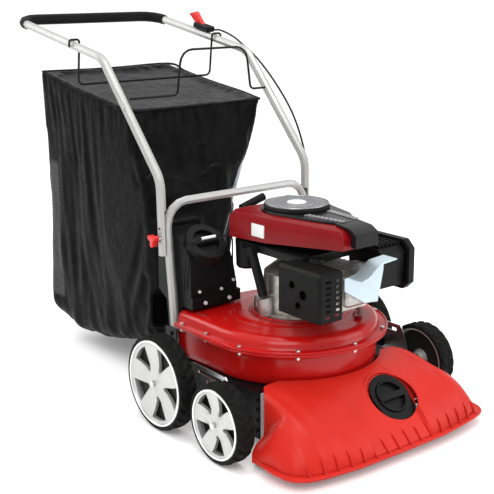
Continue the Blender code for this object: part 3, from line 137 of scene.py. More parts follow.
def woven(name, colour, light, roughness, pitch=900.0, crinkle=0.0035, sheen=0.0):
    """Plain weave of two crossed thread sets with creases and a soft sheen."""
    mat, tree, shader = new_material(name)
    link = tree.links.new
    set_inputs(shader, Sheen_Weight=sheen, Sheen_Roughness=0.35, Specular_IOR_Level=0.045)
    where = tree.nodes.new("ShaderNodeTexCoord")
    threads = []
    for direction in ("X", "Y", "Z"):
        wave = add_node(tree, "ShaderNodeTexWave", Scale=pitch / 20.0, Distortion=0.6,
                        Detail=1.0)
        wave.bands_direction = direction
        link(where.outputs["Object"], wave.inputs["Vector"])
        threads.append(wave.outputs["Fac"])
    total = threads[0]
    for other in threads[1:]:
        total = maths(tree, "ADD", total, other)
    crease = noise_node(tree, 11.0, 6.0, 1.4)
    small = noise_node(tree, 55.0, 4.0, 0.8)
    relief = bump(tree, crease.outputs["Fac"], 0.55, crinkle)
    relief = bump(tree, small.outputs["Fac"], 0.35, crinkle * 0.3, relief)
    relief = bump(tree, total, 0.25, 0.00025, relief)
    link(relief, shader.inputs["Normal"])
    # The colour follows the crease relief: darker in the fold hollows and lighter on the ridges,
    # painted shade and a painted highlight.
    drift = remap(tree, crease.outputs["Fac"], 0.0, 1.0, 0.38, 0.66)
    cloth = mix_colour(tree, drift, colour, light)
    link(cloth, shader.inputs["Base Color"])
    rough = remap(tree, small.outputs["Fac"], roughness - 0.06, roughness + 0.08)
    link(rough, shader.inputs["Roughness"])
    return mat, tree, shader, cloth


def bag_material():
    """Black coated polyester, glossier on top, with an open mesh panel in the back."""
    mat, tree, shader, cloth = woven("bag_fabric", (0.0014, 0.0014, 0.0015),
                                     (0.0045, 0.0045, 0.0048), 0.42)
    link = tree.links.new
    where = tree.nodes.new("ShaderNodeTexCoord")
    split = tree.nodes.new("ShaderNodeSeparateXYZ")
    link(where.outputs["Object"], split.inputs[0])
    rear = remap(tree, split.outputs["Y"], 0.0, 1.0, 0.552, 0.560)
    low = remap(tree, split.outputs["Z"], 1.0, 0.0, 0.585, 0.600)
    high = remap(tree, split.outputs["Z"], 0.0, 1.0, 0.150, 0.165)
    mask = maths(tree, "MULTIPLY", maths(tree, "MULTIPLY", rear, low), high)
    holes = add_node(tree, "ShaderNodeTexVoronoi", Scale=260.0)
    link(where.outputs["Object"], holes.inputs["Vector"])
    dots = remap(tree, holes.outputs["Distance"], 0.0, 1.0, 0.25, 0.45)
    net = mix_colour(tree, dots, (0.004, 0.004, 0.004), (0.060, 0.060, 0.060))
    link(mix_colour(tree, mask, cloth, net), shader.inputs["Base Color"])
    facing = tree.nodes.new("ShaderNodeNewGeometry")
    upward = tree.nodes.new("ShaderNodeSeparateXYZ")
    link(facing.outputs["True Normal"], upward.inputs[0])
    gloss = remap(tree, upward.outputs["Z"], 0.045, 0.30, 0.75, 0.95)
    link(gloss, shader.inputs["Specular IOR Level"])
    crinkle = noise_node(tree, 24.0, 4.0, 1.8)
    weave = shader.inputs["Normal"].links[0].from_socket
    relief = bump(tree, crinkle.outputs["Fac"], 0.4, 0.005, weave)
    link(relief, shader.inputs["Normal"])
    return mat


def make_materials():
    make = finish_material
    return {
        "red_steel": make("red_paint", (0.42, 0.005, 0.004), 0.24, coat=0.18,
                          specular=0.22, vary=0.05,
                          patches=4.0, grain=260.0, relief=0.00004, spread=0.03),
        "orange_plastic": make("orange_plastic", (0.50, 0.017, 0.010), 0.36, vary=0.06,
                               patches=5.0, grain=900.0, relief=0.00012, specular=0.16),
        "red_plastic": make("red_plastic", (0.18, 0.0025, 0.0045), 0.28, coat=0.06,
                            specular=0.16, vary=0.07,
                            grain=700.0, relief=0.00006),
        "knob_red": make("knob_red", (0.62, 0.018, 0.012), 0.34, vary=0.07, grain=800.0),
        "tube": make("tube_paint", (0.40, 0.40, 0.39), 0.36, 0.35, vary=0.05, patches=14.0,
                     grain=600.0, relief=0.00006),
        "zinc": make("zinc", (0.66, 0.67, 0.68), 0.30, 1.0, vary=0.16, patches=60.0),
        "zinc_sheet": make("zinc_sheet", (0.50, 0.60, 0.66), 0.34, 0.40, vary=0.10,
                           patches=9.0, grain=120.0, relief=0.00002, spread=0.03),
        "steel": make("steel", (0.42, 0.42, 0.43), 0.36, 1.0, vary=0.15, patches=40.0),
        "dark_steel": make("heat_black", (0.0060, 0.0058, 0.0056), 0.44, 0.1, vary=0.22,
                           patches=26.0, grain=800.0, relief=0.00016, specular=0.09),
        "black_steel": make("black_steel", (0.006, 0.006, 0.0065), 0.36, vary=0.2,
                            relief=0.00006, specular=0.15),
        "cast_iron": make("cast_iron", (0.16, 0.16, 0.16), 0.6, 0.9, vary=0.25,
                          patches=50.0, relief=0.0004),
        "aluminium": make("cast_aluminium", (0.40, 0.385, 0.36), 0.40, 0.9, vary=0.3,
                          patches=45.0, grain=700.0, relief=0.0004),
        "black_plastic": make("black_plastic", (0.0055, 0.0055, 0.006), 0.38, vary=0.2,
                              grain=900.0, relief=0.00018, specular=0.12),
        "gloss_black": make("gloss_black", (0.006, 0.006, 0.0065), 0.20, vary=0.2,
                            grain=500.0, relief=0.00005, specular=0.25),
        "rim": make("rim_silver", (0.50, 0.50, 0.495), 0.32, 0.55, vary=0.05, patches=18.0,
                    grain=700.0, relief=0.00006, coat=0.2),
        # A lighter silver: a painted highlight on the rims' lips, and the bright zinc of the
        # chute's bolts.
        "bright_zinc_and_highlight": make("bright_zinc_and_highlight", (0.86, 0.86, 0.86), 0.22, 0.3, vary=0.04),
        "tyre": make("tyre_rubber", (0.0075, 0.0072, 0.007), 0.60, vary=0.35, patches=30.0,
                     grain=500.0, relief=0.0005, specular=0.06, spread=0.1),
        "rubber": make("rubber", (0.005, 0.005, 0.005), 0.50, vary=0.25, relief=0.0003,
                       specular=0.12),
        "foam": make("foam", (0.006, 0.006, 0.0065), 0.85, vary=0.3, patches=80.0,
                     grain=1100.0, relief=0.0012, specular=0.12, sheen=0.05),
        # Painted shade: a dark grey and a shadow black for the discs behind the rims' windows.
        # The shadow black also paints the guard's holes and the recoil screen.
        "shade_grey": make("wheel_painted_shade", (0.035, 0.034, 0.033), 0.7, vary=0.2),
        "shadow_black": make("wheel_shadow", (0.004, 0.004, 0.004), 0.8, vary=0.2),
        "silver_trim": make("silver_trim", (0.30, 0.30, 0.31), 0.30, 0.8, vary=0.12),
        "label": make("blank_label", (0.70, 0.71, 0.70), 0.42, vary=0.05, patches=30.0),
        "dark_label": make("dark_label", (0.06, 0.062, 0.065), 0.35, vary=0.25,
                           patches=60.0),
        "white": make("white_tip", (0.85, 0.85, 0.84), 0.3, vary=0.03),
        # A darker copy of the red paint: painted shade for the groove round the engine's base and
        # the pad beside it.
        "red_shadow": make("red_painted_shade", (0.24, 0.004, 0.004), 0.3, vary=0.1),
        "fabric": bag_material(),
        "webbing": woven("webbing", (0.004, 0.004, 0.0045), (0.012, 0.012, 0.013), 0.6, 1400.0,
                         0.0006)[0],
        "ribbon": woven("ribbon", (0.30, 0.31, 0.33), (0.44, 0.45, 0.47), 0.5, 1400.0,
                        0.0006)[0],
    }


# ---------------------------------------------------------------- mesh helpers
def smooth_group():
    """Geometry nodes that weld a faceted mesh and smooth all but its real edges."""
    group = bpy.data.node_groups.new("weld_and_smooth", "GeometryNodeTree")
    group.interface.new_socket("Geometry", in_out="INPUT", socket_type="NodeSocketGeometry")
    group.interface.new_socket("Geometry", in_out="OUTPUT", socket_type="NodeSocketGeometry")
    first = group.nodes.new("NodeGroupInput")
    weld = group.nodes.new("GeometryNodeMergeByDistance")
    weld.inputs["Distance"].default_value = 0.00002
    faces = group.nodes.new("GeometryNodeSetShadeSmooth")
    edges = group.nodes.new("GeometryNodeSetShadeSmooth")
    edges.domain = "EDGE"
    edges.inputs["Shade Smooth"].default_value = False
    angle = group.nodes.new("GeometryNodeInputMeshEdgeAngle")
    above = group.nodes.new("FunctionNodeCompare")
    above.operation = "GREATER_THAN"
    above.inputs["B"].default_value = math.radians(34)
    last = group.nodes.new("NodeGroupOutput")
    link = group.links.new
    link(first.outputs[0], weld.inputs["Geometry"])
    link(weld.outputs["Geometry"], faces.inputs["Geometry"])
    link(faces.outputs["Geometry"], edges.inputs["Geometry"])
    link(angle.outputs["Unsigned Angle"], above.inputs["A"])
    link(above.outputs["Result"], edges.inputs["Selection"])
    link(edges.outputs["Geometry"], last.inputs[0])
    return group


def soften(obj, width, segments, angle):
    """A bevel on an object's sharp edges."""
    soft = obj.modifiers.new("soft edges", "BEVEL")
    soft.width = width
    soft.segments = segments
    soft.limit_method = "ANGLE"
    soft.angle_limit = math.radians(angle)


def dress(node, mat, group, bevel=0.0):
    """Gives a CAD node its material, clean shading and, where wanted, softened edges."""
    obj = nodes[node]
    obj.data.materials.clear()
    obj.data.materials.append(mat)
    attribute = obj.data.attributes.get("custom_normal")
    if attribute:
        obj.data.attributes.remove(attribute)
    weld = obj.modifiers.new("weld", "NODES")
    weld.node_group = group
    if bevel:
        soften(obj, bevel, 2, 40)
        again = obj.modifiers.new("smooth", "NODES")
        again.node_group = group
    return obj


def mesh_object(name, bm):
    """A linked object made of a bmesh."""
    mesh = bpy.data.meshes.new(name)
    bm.to_mesh(mesh)
    bm.free()
    obj = bpy.data.objects.new(name, mesh)
    bpy.context.scene.collection.objects.link(obj)
    return obj


def apply_modifiers(obj):
    """Bakes an object's modifiers into its mesh."""
    graph = bpy.context.evaluated_depsgraph_get()
    mesh = bpy.data.meshes.new_from_object(obj.evaluated_get(graph))
    obj.modifiers.clear()
    obj.data = mesh


def bridge(bm, rings, closed=False):
    """Quads between neighbouring rings, and from the last ring to the first if closed."""
    for one, two in zip(rings, rings[1:] + (rings[:1] if closed else [])):
        for i in range(len(one)):
            j = (i + 1) % len(one)
            bm.faces.new((one[i], one[j], two[j], two[i]))


def circle_points(r, count, start=0.0, span=2 * math.pi):
    """Count + 1 points from the start angle over the span, as pairs."""
    return [(r * math.cos(a), r * math.sin(a))
            for a in [start + span * i / count for i in range(count + 1)]]


def finish_shape(obj, mat, angle):
    """Moves a finished mesh to the model's frame, and gives it its shading and material."""
    mesh = obj.data
    mesh.transform(Matrix.Translation((0, SHIFT, 0)))
    mesh.shade_smooth()
    mesh.set_sharp_from_angle(angle=math.radians(angle))
    mesh.materials.clear()
    mesh.materials.append(mat)


def piece(name, bm, finish, body="chassis", replaces=(), angle=34):
    """A finished piece, from a bmesh or a list of them, that rides on a body."""
    if isinstance(bm, list):
        bm = join_meshes(bm)
    bmesh.ops.recalc_face_normals(bm, faces=bm.faces)
    obj = mesh_object(name, bm)
    finish_shape(obj, materials[finish], angle)
    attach(obj, body)
    if replaces:
        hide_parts(*replaces)
    return obj


def join_meshes(parts):
    """One bmesh of several."""
    bm = bmesh.new()
    for part in parts:
        mesh = bpy.data.meshes.new("part")
        part.to_mesh(mesh)
        part.free()
        bm.from_mesh(mesh)
        bpy.data.meshes.remove(mesh)
    return bm


def block(lo, hi, radius=0.001, segments=2):
    """A rounded box."""
    bm = bmesh.new()
    bmesh.ops.create_cube(bm, size=1.0)
    bmesh.ops.scale(bm, vec=[h - l for l, h in zip(lo, hi)], verts=bm.verts)
    bmesh.ops.translate(bm, vec=[(h + l) / 2 for l, h in zip(lo, hi)], verts=bm.verts)
    if radius:
        bmesh.ops.bevel(bm, geom=bm.edges[:], offset=radius, segments=segments,
                        profile=0.5, affect="EDGES")
    return bm


def bar(start, end, radius, sides=16, end_radius=None, soft=0.0):
    """A round bar between two points."""
    start, end = Vector(start), Vector(end)
    span = end - start
    bm = bmesh.new()
    bmesh.ops.create_cone(bm, cap_ends=True, segments=sides, radius1=radius,
                          radius2=radius if end_radius is None else end_radius,
                          depth=span.length)
    if soft:
        rim = [e for e in bm.edges if abs(e.verts[0].co.z - e.verts[1].co.z) < 1e-6]
        bmesh.ops.bevel(bm, geom=rim, offset=soft, segments=2, affect="EDGES")
    turn = span.to_track_quat("Z", "Y").to_matrix().to_4x4()
    bmesh.ops.transform(bm, matrix=Matrix.Translation((start + end) / 2) @ turn,
                        verts=bm.verts)
    return bm


def sweep(path, radius, sides=8, flat=1.0):
    """A tube along a path; flat below 1 makes it a strip."""
    bm = bmesh.new()
    path = [Vector(p) for p in path]
    rings = []
    for i, here in enumerate(path):
        along = (path[min(i + 1, len(path) - 1)] - path[max(i - 1, 0)]).normalized()
        side = along.cross(Vector((0, 0, 1)))
        if side.length < 0.05:
            side = along.cross(Vector((0, 1, 0)))
        side.normalize()
        up = side.cross(along)
        rings.append([bm.verts.new(here + side * radius * math.cos(t)
                                   + up * radius * flat * math.sin(t))
                      for t in [2 * math.pi * k / sides for k in range(sides)]])
    bridge(bm, rings)
    bm.faces.new(rings[0])
    bm.faces.new(rings[-1])
    return bm


def curve_through(points, steps=8):
    knots = [Vector(p) for p in points]
    knots = [2 * knots[0] - knots[1]] + knots + [2 * knots[-1] - knots[-2]]
    path = []
    for a, b, c, d in zip(knots, knots[1:], knots[2:], knots[3:]):
        for i in range(steps):
            t = i / steps
            path.append(0.5 * (2 * b + (c - a) * t + (2 * a - 5 * b + 4 * c - d) * t * t
                               + (3 * b - a - 3 * c + d) * t ** 3))
    path.append(knots[-2])
    return path


def slab(outline, axis, lo, hi, soft=0.0):
    """An outline extruded along an axis, its edges softened."""
    def place(a, b, t):
        return {"X": (t, a, b), "Y": (a, t, b), "Z": (a, b, t)}[axis]

    bm = bmesh.new()
    face = bm.faces.new([bm.verts.new(place(a, b, lo)) for a, b in outline])
    grown = bmesh.ops.extrude_face_region(bm, geom=[face])
    moved = [v for v in grown["geom"] if isinstance(v, bmesh.types.BMVert)]
    bmesh.ops.translate(bm, verts=moved, vec=place(0, 0, hi - lo))
    if soft:
        bmesh.ops.bevel(bm, geom=bm.edges[:], offset=soft, segments=2, profile=0.5,
                        affect="EDGES", clamp_overlap=True)
    return bm


def subtract(obj, bm):
    """Cuts the shape of a bmesh out of an object."""
    bmesh.ops.recalc_face_normals(bm, faces=bm.faces)
    tool = mesh_object("tool", bm)
    cutter = obj.modifiers.new("cut", "BOOLEAN")
    cutter.operation = "DIFFERENCE"
    cutter.solver = "EXACT"
    cutter.object = tool
    apply_modifiers(obj)
    bpy.data.objects.remove(tool)


# ---------------------------------------------------------------- wheels
def tyre_mesh(centre, radius, sign, lugs):
    """A tyre with two rows of slanted blocks and open shoulders."""
    rim_r = radius - TREAD_DEPTH
    half = TYRE_HALF
    around = lugs * 8
    section = [(-half + 0.001, rim_r + 0.0006, 0), (-half, rim_r + 0.004, 0),
               (-half + 0.0012, radius - 0.0045, 0), (-half + 0.004, radius - 0.0012, 1),
               (-0.0160, radius, 1), (-0.0080, radius, 1), (-0.0012, radius, 1),
               (0.0012, radius, 1), (0.0080, radius, 1), (0.0160, radius, 1),
               (half - 0.004, radius - 0.0012, 1), (half - 0.0012, radius - 0.0045, 0),
               (half, rim_r + 0.004, 0), (half - 0.001, rim_r + 0.0006, 0),
               (0.0, rim_r + 0.0006, 0)]
    bm = bmesh.new()
    rows = []
    for x, r, tread in section:
        row = []
        for i in range(around):
            turn = 2 * math.pi * i / around
            depth = 0.0
            if tread:
                step = 0.0 if x < 0 else 0.5
                phase = (turn * lugs / (2 * math.pi) + step + 1.9 * abs(x) / half * 0.35) % 1.0
                depth = 0.0042 if phase < 0.36 else 0.0
                if abs(x) < 0.002:
                    depth = 0.0030
            row.append((r - depth, x))
        rows.append(row)
    bridge(bm, list(turned_rings(bm, rows, sign)), True)
    bmesh.ops.translate(bm, vec=centre, verts=bm.verts)
    return bm


def turned_rings(bm, rows, sign):
    """Rings about the wheel's axis from rows of (radius, distance along it) pairs."""
    for row in rows:
        count = len(row)
        yield [bm.verts.new((sign * h, r * math.cos(2 * math.pi * i / count),
                             r * math.sin(2 * math.pi * i / count)))
               for i, (r, h) in enumerate(row)]


def rim_face_height(r, rim_r):
    """How far the outer face stands from the wheel's middle plane."""
    half = TYRE_HALF
    table = ((0.0, half - 0.0010), (0.014, half - 0.0016), (0.0165, half - 0.0040),
             (0.022, half - 0.0048), (rim_r * 0.45, half - 0.0088),
             (rim_r * 0.70, half - 0.0075), (rim_r - 0.0095, half - 0.0042),
             (rim_r - 0.0075, half - 0.0034), (rim_r - 0.0062, half - 0.0004),
             (rim_r - 0.0010, half), (rim_r, half - 0.0012))
    for (r0, h0), (r1, h1) in zip(table, table[1:]):
        if r <= r1:
            return h0 + (h1 - h0) * (r - r0) / (r1 - r0)
    return table[-1][1]


def rim_object(name, centre, rim_r, sign):
    """A dished disc with a crowned spoke between each pair of rounded windows."""
    half = TYRE_HALF
    around = 120
    first = math.radians(81)
    radii = [0.006, 0.014, 0.0165, 0.022] + [rim_r * k for k in (0.38, 0.45, 0.54, 0.62, 0.70,
                                                                 0.78, 0.85)]
    radii += [rim_r - 0.0095, rim_r - 0.0075, rim_r - 0.0062, rim_r - 0.0010, rim_r]
    rows = []
    for r in radii:
        height = rim_face_height(r, rim_r)
        crown = 0.0028 * max(0.0, math.sin(math.pi * (r - 0.02) / (rim_r - 0.032)))
        if r < 0.02 or r > rim_r - 0.012:
            crown = 0.0
        rows.append([(r, height + crown * math.cos(5 * (2 * math.pi * i / around - first)))
                     for i in range(around)])
    for r, h in ((rim_r, -half + 0.002), (rim_r - 0.004, -half + 0.002),
                 (rim_r - 0.005, half - 0.014), (rim_r * 0.8, half - 0.0165),
                 (0.030, half - 0.020), (0.018, -half + 0.004), (0.006, -half + 0.004)):
        rows.append([(r, h)] * around)
    bm = bmesh.new()
    bridge(bm, list(turned_rings(bm, rows, sign)), True)
    bmesh.ops.recalc_face_normals(bm, faces=bm.faces)
    obj = mesh_object(name, bm)
    near, far = 0.31 * rim_r, 0.870 * rim_r
    holes = []
    for k in range(5):
        middle = first + 2 * math.pi * (k + 0.5) / 5
        outline = [(far * math.cos(a), far * math.sin(a))
                   for a in [math.radians(-19 + 38 * i / 8) for i in range(9)]]
        outline = [(far - 0.004, outline[0][1] - 0.001)] + outline
        outline += [(far - 0.005, outline[-1][1] + 0.001)]
        bend = [(near + (far - near) * t, math.tan(math.radians(6.5 + 13.5 * t ** 0.8))
                 * (near + (far - near) * t)) for t in (0.85, 0.6, 0.4, 0.2, 0.06)]
        outline += bend + [(near, 0.0)] + [(u, -v) for u, v in reversed(bend)]
        turned = [(u * math.cos(middle) - v * math.sin(middle),
                   u * math.sin(middle) + v * math.cos(middle)) for u, v in outline]
        holes.append(slab(turned, "X", -0.05, 0.05))
    subtract(obj, join_meshes(holes))
    obj.data.transform(Matrix.Translation(centre))
    soften(obj, RIM_SOFT, 3, 50)
    apply_modifiers(obj)
    return obj


def wheels():
    for label, axle, radius, lugs in (("rear", REAR_AXLE, REAR_R, 26),
                                      ("front", FRONT_AXLE, FRONT_R, 22)):
        for side, sign in (("left", 1), ("right", -1)):
            body = f"{label}_wheel_{side}"
            centre = (sign * (WHEEL_OUTER_X - TYRE_HALF), *axle)
            rim_r = radius - TREAD_DEPTH
            piece(f"tyre_{label}_{side}", tyre_mesh(centre, radius, sign, lugs), "tyre",
                  body, (f"{label}_tyre_{side}",), 28)
            rim = rim_object(f"rim_{label}_{side}", centre, rim_r, sign)
            finish_shape(rim, materials["rim"], 30)
            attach(rim, body)
            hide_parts(f"{label}_rim_{side}")
            # The disc behind the rim fills its windows with painted shade.
            back = "shade_grey" if label == "rear" else "shadow_black"
            x = centre[0]
            disc = bar((x - sign * 0.004, *axle), (x - sign * 0.001, *axle), rim_r - 0.006, 64)
            piece(f"wheel_painted_shade_{label}_{side}", disc, back, body)
            # The rim's lip is a lighter silver ring: a painted highlight.
            piece(f"rim_edge_highlight_{label}_{side}", rim_edge_highlight(centre, sign, rim_r), "bright_zinc_and_highlight",
                  body)


def rim_edge_highlight(centre, sign, rim_r):
    """The lip round the rim's outer edge, in a lighter silver: a painted highlight."""
    half = TYRE_HALF
    profile = ((rim_r - 0.0058, half - 0.0006), (rim_r - 0.0046, half + 0.0006),
               (rim_r - 0.0016, half + 0.0006), (rim_r - 0.0008, half - 0.0006))
    bm = bmesh.new()
    bridge(bm, list(turned_rings(bm, [[row] * 96 for row in profile], sign)), True)
    bmesh.ops.translate(bm, vec=centre, verts=bm.verts)
    return bm


# ---------------------------------------------------------------- bag
BAG_STATIONS = (
    # y, lowest z, highest z, left edge at the top, middle and bottom, corner radius
    (-0.012, 0.302, 0.492, -0.069, -0.069, -0.069, 0.010),
    (0.012, 0.300, 0.495, -0.066, -0.066, -0.066, 0.012),
    (0.020, 0.180, 0.560, 0.000, 0.020, 0.000, 0.030),
    (0.060, 0.155, 0.680, 0.150, 0.080, 0.060, 0.030),
    (0.108, 0.138, 0.796, 0.236, 0.110, 0.090, 0.030),
    (0.200, 0.110, 0.811, 0.238, 0.180, 0.150, 0.035),
    (0.367, 0.070, 0.833, 0.238, 0.215, 0.190, 0.040),
    (0.500, 0.063, 0.856, 0.236, 0.225, 0.200, 0.040),
    (0.585, 0.100, 0.874, 0.234, 0.225, 0.200, 0.040),
)
BAG_SIDE = -0.238
BAG_HALF = 0.2385       # the cloth stays within this of the middle
BAG_FLOOR = 0.052       # and above this height
NECK_FACE = -0.0115     # y of the neck's front face
NECK_END = 0.02         # y behind which the cloth has folds
BAG_GRID = 0.011
DRAPE_FRAMES = 20
DRAPE_REACH = 0.011     # the farthest that the cloth run moves a point


def rear_lean(z):
    """How far the bag's back stands out at a height."""
    return 0.020 if z > 0.8 else 0.070 * min(0.75, (0.60 - z) * 1.4)


def bag_ring(station):
    y, z0, z1, top, middle, bottom, r = station
    x0 = -0.2305 if y < 0.015 else BAG_SIDE
    zm = z0 + (z1 - z0) * 0.62
    points = [(x0, z0 + r), (x0 + r * 0.3, z0 + r * 0.3), (x0 + r, z0), (bottom - r, z0),
              (bottom - r * 0.3, z0 + r * 0.3), (bottom, z0 + r), (middle, zm),
              (top, z1 - 0.006), (top - 0.006, z1), (x0 + 0.006, z1), (x0, z1 - 0.006),
              (x0, zm)]
    last = station == BAG_STATIONS[-1]
    return [(x, y + (rear_lean(z) if last else 0.0), z) for x, z in points]


def bag_cage():
    bm = bmesh.new()
    rings = [[bm.verts.new(p) for p in bag_ring(station)] for station in BAG_STATIONS]
    bridge(bm, rings)
    bm.faces.new(rings[0])
    bm.faces.new(rings[-1])
    bmesh.ops.recalc_face_normals(bm, faces=bm.faces)
    return bm


def top_at(y):
    """Height of the bag's upper edge."""
    rows = BAG_STATIONS[4:]
    if y <= rows[0][0]:
        return rows[0][2]
    for one, two in zip(rows, rows[1:]):
        if y <= two[0]:
            return one[2] + (two[2] - one[2]) * (y - one[0]) / (two[0] - one[0])
    return rows[-1][2]


def fold_depth(p, n):
    """Analytic folds: sag between the wires, and long soft folds on the sides."""
    edge = top_at(p.y) - p.z
    if n.z > 0.7 and p.y > 0.09:
        across = max(0.0, 1 - (p.x / 0.238) ** 2)
        crease = noise.noise(Vector((p.x * 10, p.y * 16, 3)))
        small = noise.noise(Vector((p.x * 38, p.y * 30, 5)))
        return across * (0.005 * crease + 0.0022 * small - 0.003)
    hang = max(0.0, min(1.0, edge / 0.20))
    along = p.x if abs(n.y) > abs(n.x) else p.y
    wave = noise.noise(Vector((along * 13 + 1.5 * p.z, p.z * 2.2, 7.0)))
    small = noise.noise(Vector((along * 34 - 3 * p.z, p.z * 6.5, 1.0)))
    return hang * (0.010 * wave + 0.005 * small)


def bag():
    """A lofted shell, remeshed, folded and draped by a short cloth run."""
    obj = mesh_object("bag_shell", bag_cage())
    grid = obj.modifiers.new("even grid", "REMESH")
    grid.mode = "VOXEL"
    grid.voxel_size = BAG_GRID
    apply_modifiers(obj)
    relax = obj.modifiers.new("relax", "SMOOTH")
    relax.factor = 0.5
    relax.iterations = 2
    apply_modifiers(obj)
    folded = [v.co + v.normal * fold_depth(v.co, v.normal) for v in obj.data.vertices]
    for v, co in zip(obj.data.vertices, folded):
        if v.co.y > NECK_END:
            v.co = co
    drape(obj)
    for v in obj.data.vertices:
        v.co.x = max(-BAG_HALF, min(BAG_HALF, v.co.x))
        v.co.z = max(BAG_FLOOR, v.co.z)
        if v.co.y < 0.030:
            v.co.y = max(v.co.y, NECK_FACE)
    obj.data.transform(Matrix.Translation((0, SHIFT, 0)))
    obj.data.materials.append(materials["fabric"])
    fine = obj.modifiers.new("fine", "SUBSURF")
    fine.levels = 1
    fine.render_levels = 1
    obj.data.shade_smooth()
    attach(obj, "chassis")
    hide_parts("bag")


def drape(obj):
    """A short cloth run with the top frame and the neck held, and how far it may move capped."""
    scene = bpy.context.scene
    held = obj.vertex_groups.new(name="held")
    rest = [v.co.copy() for v in obj.data.vertices]
    for v in obj.data.vertices:
        edge = top_at(v.co.y) - v.co.z
        on_rim = edge < 0.016 and (abs(v.co.x) > 0.222 or v.co.y < 0.125 or v.co.y > 0.580)
        if v.co.y < 0.034 or (on_rim and v.co.y > 0.09):
            held.add([v.index], 1.0, "REPLACE")
    cloth = obj.modifiers.new("cloth", "CLOTH")
    settings = cloth.settings
    for name, value in (("quality", 4), ("mass", 0.25), ("vertex_group_mass", "held"),
                        ("tension_stiffness", 20), ("compression_stiffness", 8),
                        ("shear_stiffness", 4), ("bending_stiffness", 0.08),
                        ("shrink_min", -0.035), ("use_pressure", True),
                        ("uniform_pressure_force", 0.6)):
        setattr(settings, name, value)
    settings.effector_weights.gravity = 0.6
    cloth.collision_settings.use_collision = False
    cloth.collision_settings.use_self_collision = False
    cloth.point_cache.frame_start = 1
    cloth.point_cache.frame_end = DRAPE_FRAMES
    for frame_number in range(1, DRAPE_FRAMES + 1):
        scene.frame_set(frame_number)
    apply_modifiers(obj)
    for v, start in zip(obj.data.vertices, rest):
        move = v.co - start
        if move.length > DRAPE_REACH:
            v.co = start + move * (DRAPE_REACH / move.length)
    scene.frame_set(1)


def bag_trim():
    """Piping round the top and the ribbon down the neck."""
    side, far = [], []
    for station in BAG_STATIONS[4:]:
        y, _, z1, top, _, _, _ = station
        back = 0.006 if station == BAG_STATIONS[-1] else 0.0
        side.append((BAG_SIDE + 0.0035, y + back, z1 - 0.0045))
        far.append((top - 0.0035, y + back, z1 - 0.0045))
    loop = curve_through([far[0]] + [(0.0, side[0][1] - 0.003, side[0][2] - 0.003)] + side, 5)
    piece("bag_piping_near", sweep(loop, 0.0036, 8), "webbing")
    loop = curve_through(far + [(0.0, far[-1][1] + 0.002, far[-1][2] - 0.003), side[-1]], 5)
    piece("bag_piping_far", sweep(loop, 0.0036, 8), "webbing")
    edge = curve_through([(-0.056, 0.022, 0.330), (0.000, 0.026, 0.375), (0.034, 0.030, 0.430),
                          (0.070, 0.040, 0.515), (0.118, 0.064, 0.590), (0.150, 0.080, 0.650)])
    piece("bag_ribbon", sweep(edge, 0.0052, 8, 0.25), "ribbon")


# ---------------------------------------------------------------- screen, shroud, housing
def screen_detail():
    """Crossed bars over the recoil cap with a plain disc in the middle."""
    cx, cy = CRANK
    z = SCREEN_TOP
    parts = []
    inner = SCREEN_R - 0.007
    count = 10
    for i in range(-count, count + 1):
        off = i * inner / (count + 0.6)
        reach = math.sqrt(max(0.0, inner * inner - off * off))
        if reach < 0.006:
            continue
        parts.append(block((cx - reach, cy + off - 0.0011, z + 0.0002),
                           (cx + reach, cy + off + 0.0011, z + 0.0020), 0.0004, 1))
        parts.append(block((cx + off - 0.0011, cy - reach, z + 0.0002),
                           (cx + off + 0.0011, cy + reach, z + 0.0022), 0.0004, 1))
    piece("screen_bars", parts, "silver_trim")
    rings = []
    for r, w in ((SCREEN_R - 0.004, 0.0022), (0.046, 0.0014), (0.029, 0.0016)):
        path = [(cx + x, cy + y, z + 0.0012) for x, y in circle_points(r, 64)]
        rings.append(sweep(path, w, 8))
    piece("screen_rings", rings, "silver_trim")
    disc = bar((cx, cy, z + 0.001), (cx, cy, z + 0.0036), 0.026, 48, 0.0245, 0.0008)
    piece("screen_disc", disc, "label")


def cover_detail():
    """Ribbed silver strips that run from the screen to the nose of the top cover."""
    z = 0.5640
    parts = []
    for x0, x1, y1 in ((-0.050, -0.028, -0.536), (0.006, 0.026, -0.530)):
        for i in range(9):
            t = i / 8
            y = -0.430 + (y1 + 0.430) * t
            x = (x0 if x0 < 0 else x1) * (1 - 0.35 * t)
            parts.append(block((x - 0.010, y - 0.0035, z - 0.001),
                               (x + 0.010, y + 0.0035, z + 0.0024), 0.0012, 2))
    piece("cover_strips", parts, "silver_trim")


def shroud_detail():
    """A blank plate on the blower housing."""
    plate = block((-0.1224, -0.343, 0.4985), (-0.1185, -0.294, 0.5315), 0.0008)
    piece("shroud_plate", plate, "label")


def housing_ring(r, wall, z, centre=None):
    """Plan of the housing at one height: round in front, straight beside the outlet."""
    tongue = math.acos(OUTLET_X[1] / r) if centre is None and r > 0.1 else math.radians(108)
    points = []
    for i in range(10):
        t = i / 10
        blend = (1 - t) ** 2 * (1 + 2 * t)
        points.append((-(r + (wall - r) * blend), OUTLET_Y + (DRUM[1] - OUTLET_Y) * t))
    for i in range(73):
        a = math.pi + (math.pi + tongue) * i / 72
        points.append((DRUM[0] + r * math.cos(a), DRUM[1] + r * math.sin(a)))
    points += [(OUTLET_X[1], points[-1][1] * 0.5 + OUTLET_Y * 0.5), (OUTLET_X[1], OUTLET_Y)]
    if centre is None:
        return [(x, y, z) for x, y in points]
    base = housing_ring(DRUM_R, 0.240, z)
    turned = []
    for x, y, _ in base:
        a = math.atan2(y - DRUM[1], x - DRUM[0])
        turned.append((centre[0] + r * math.cos(a), centre[1] + r * math.sin(a), z))
    return turned


def loft(rings):
    """Closed rings joined in order, the last one back to the first."""
    bm = bmesh.new()
    bridge(bm, [[bm.verts.new(p) for p in ring] for ring in rings], True)
    return bm


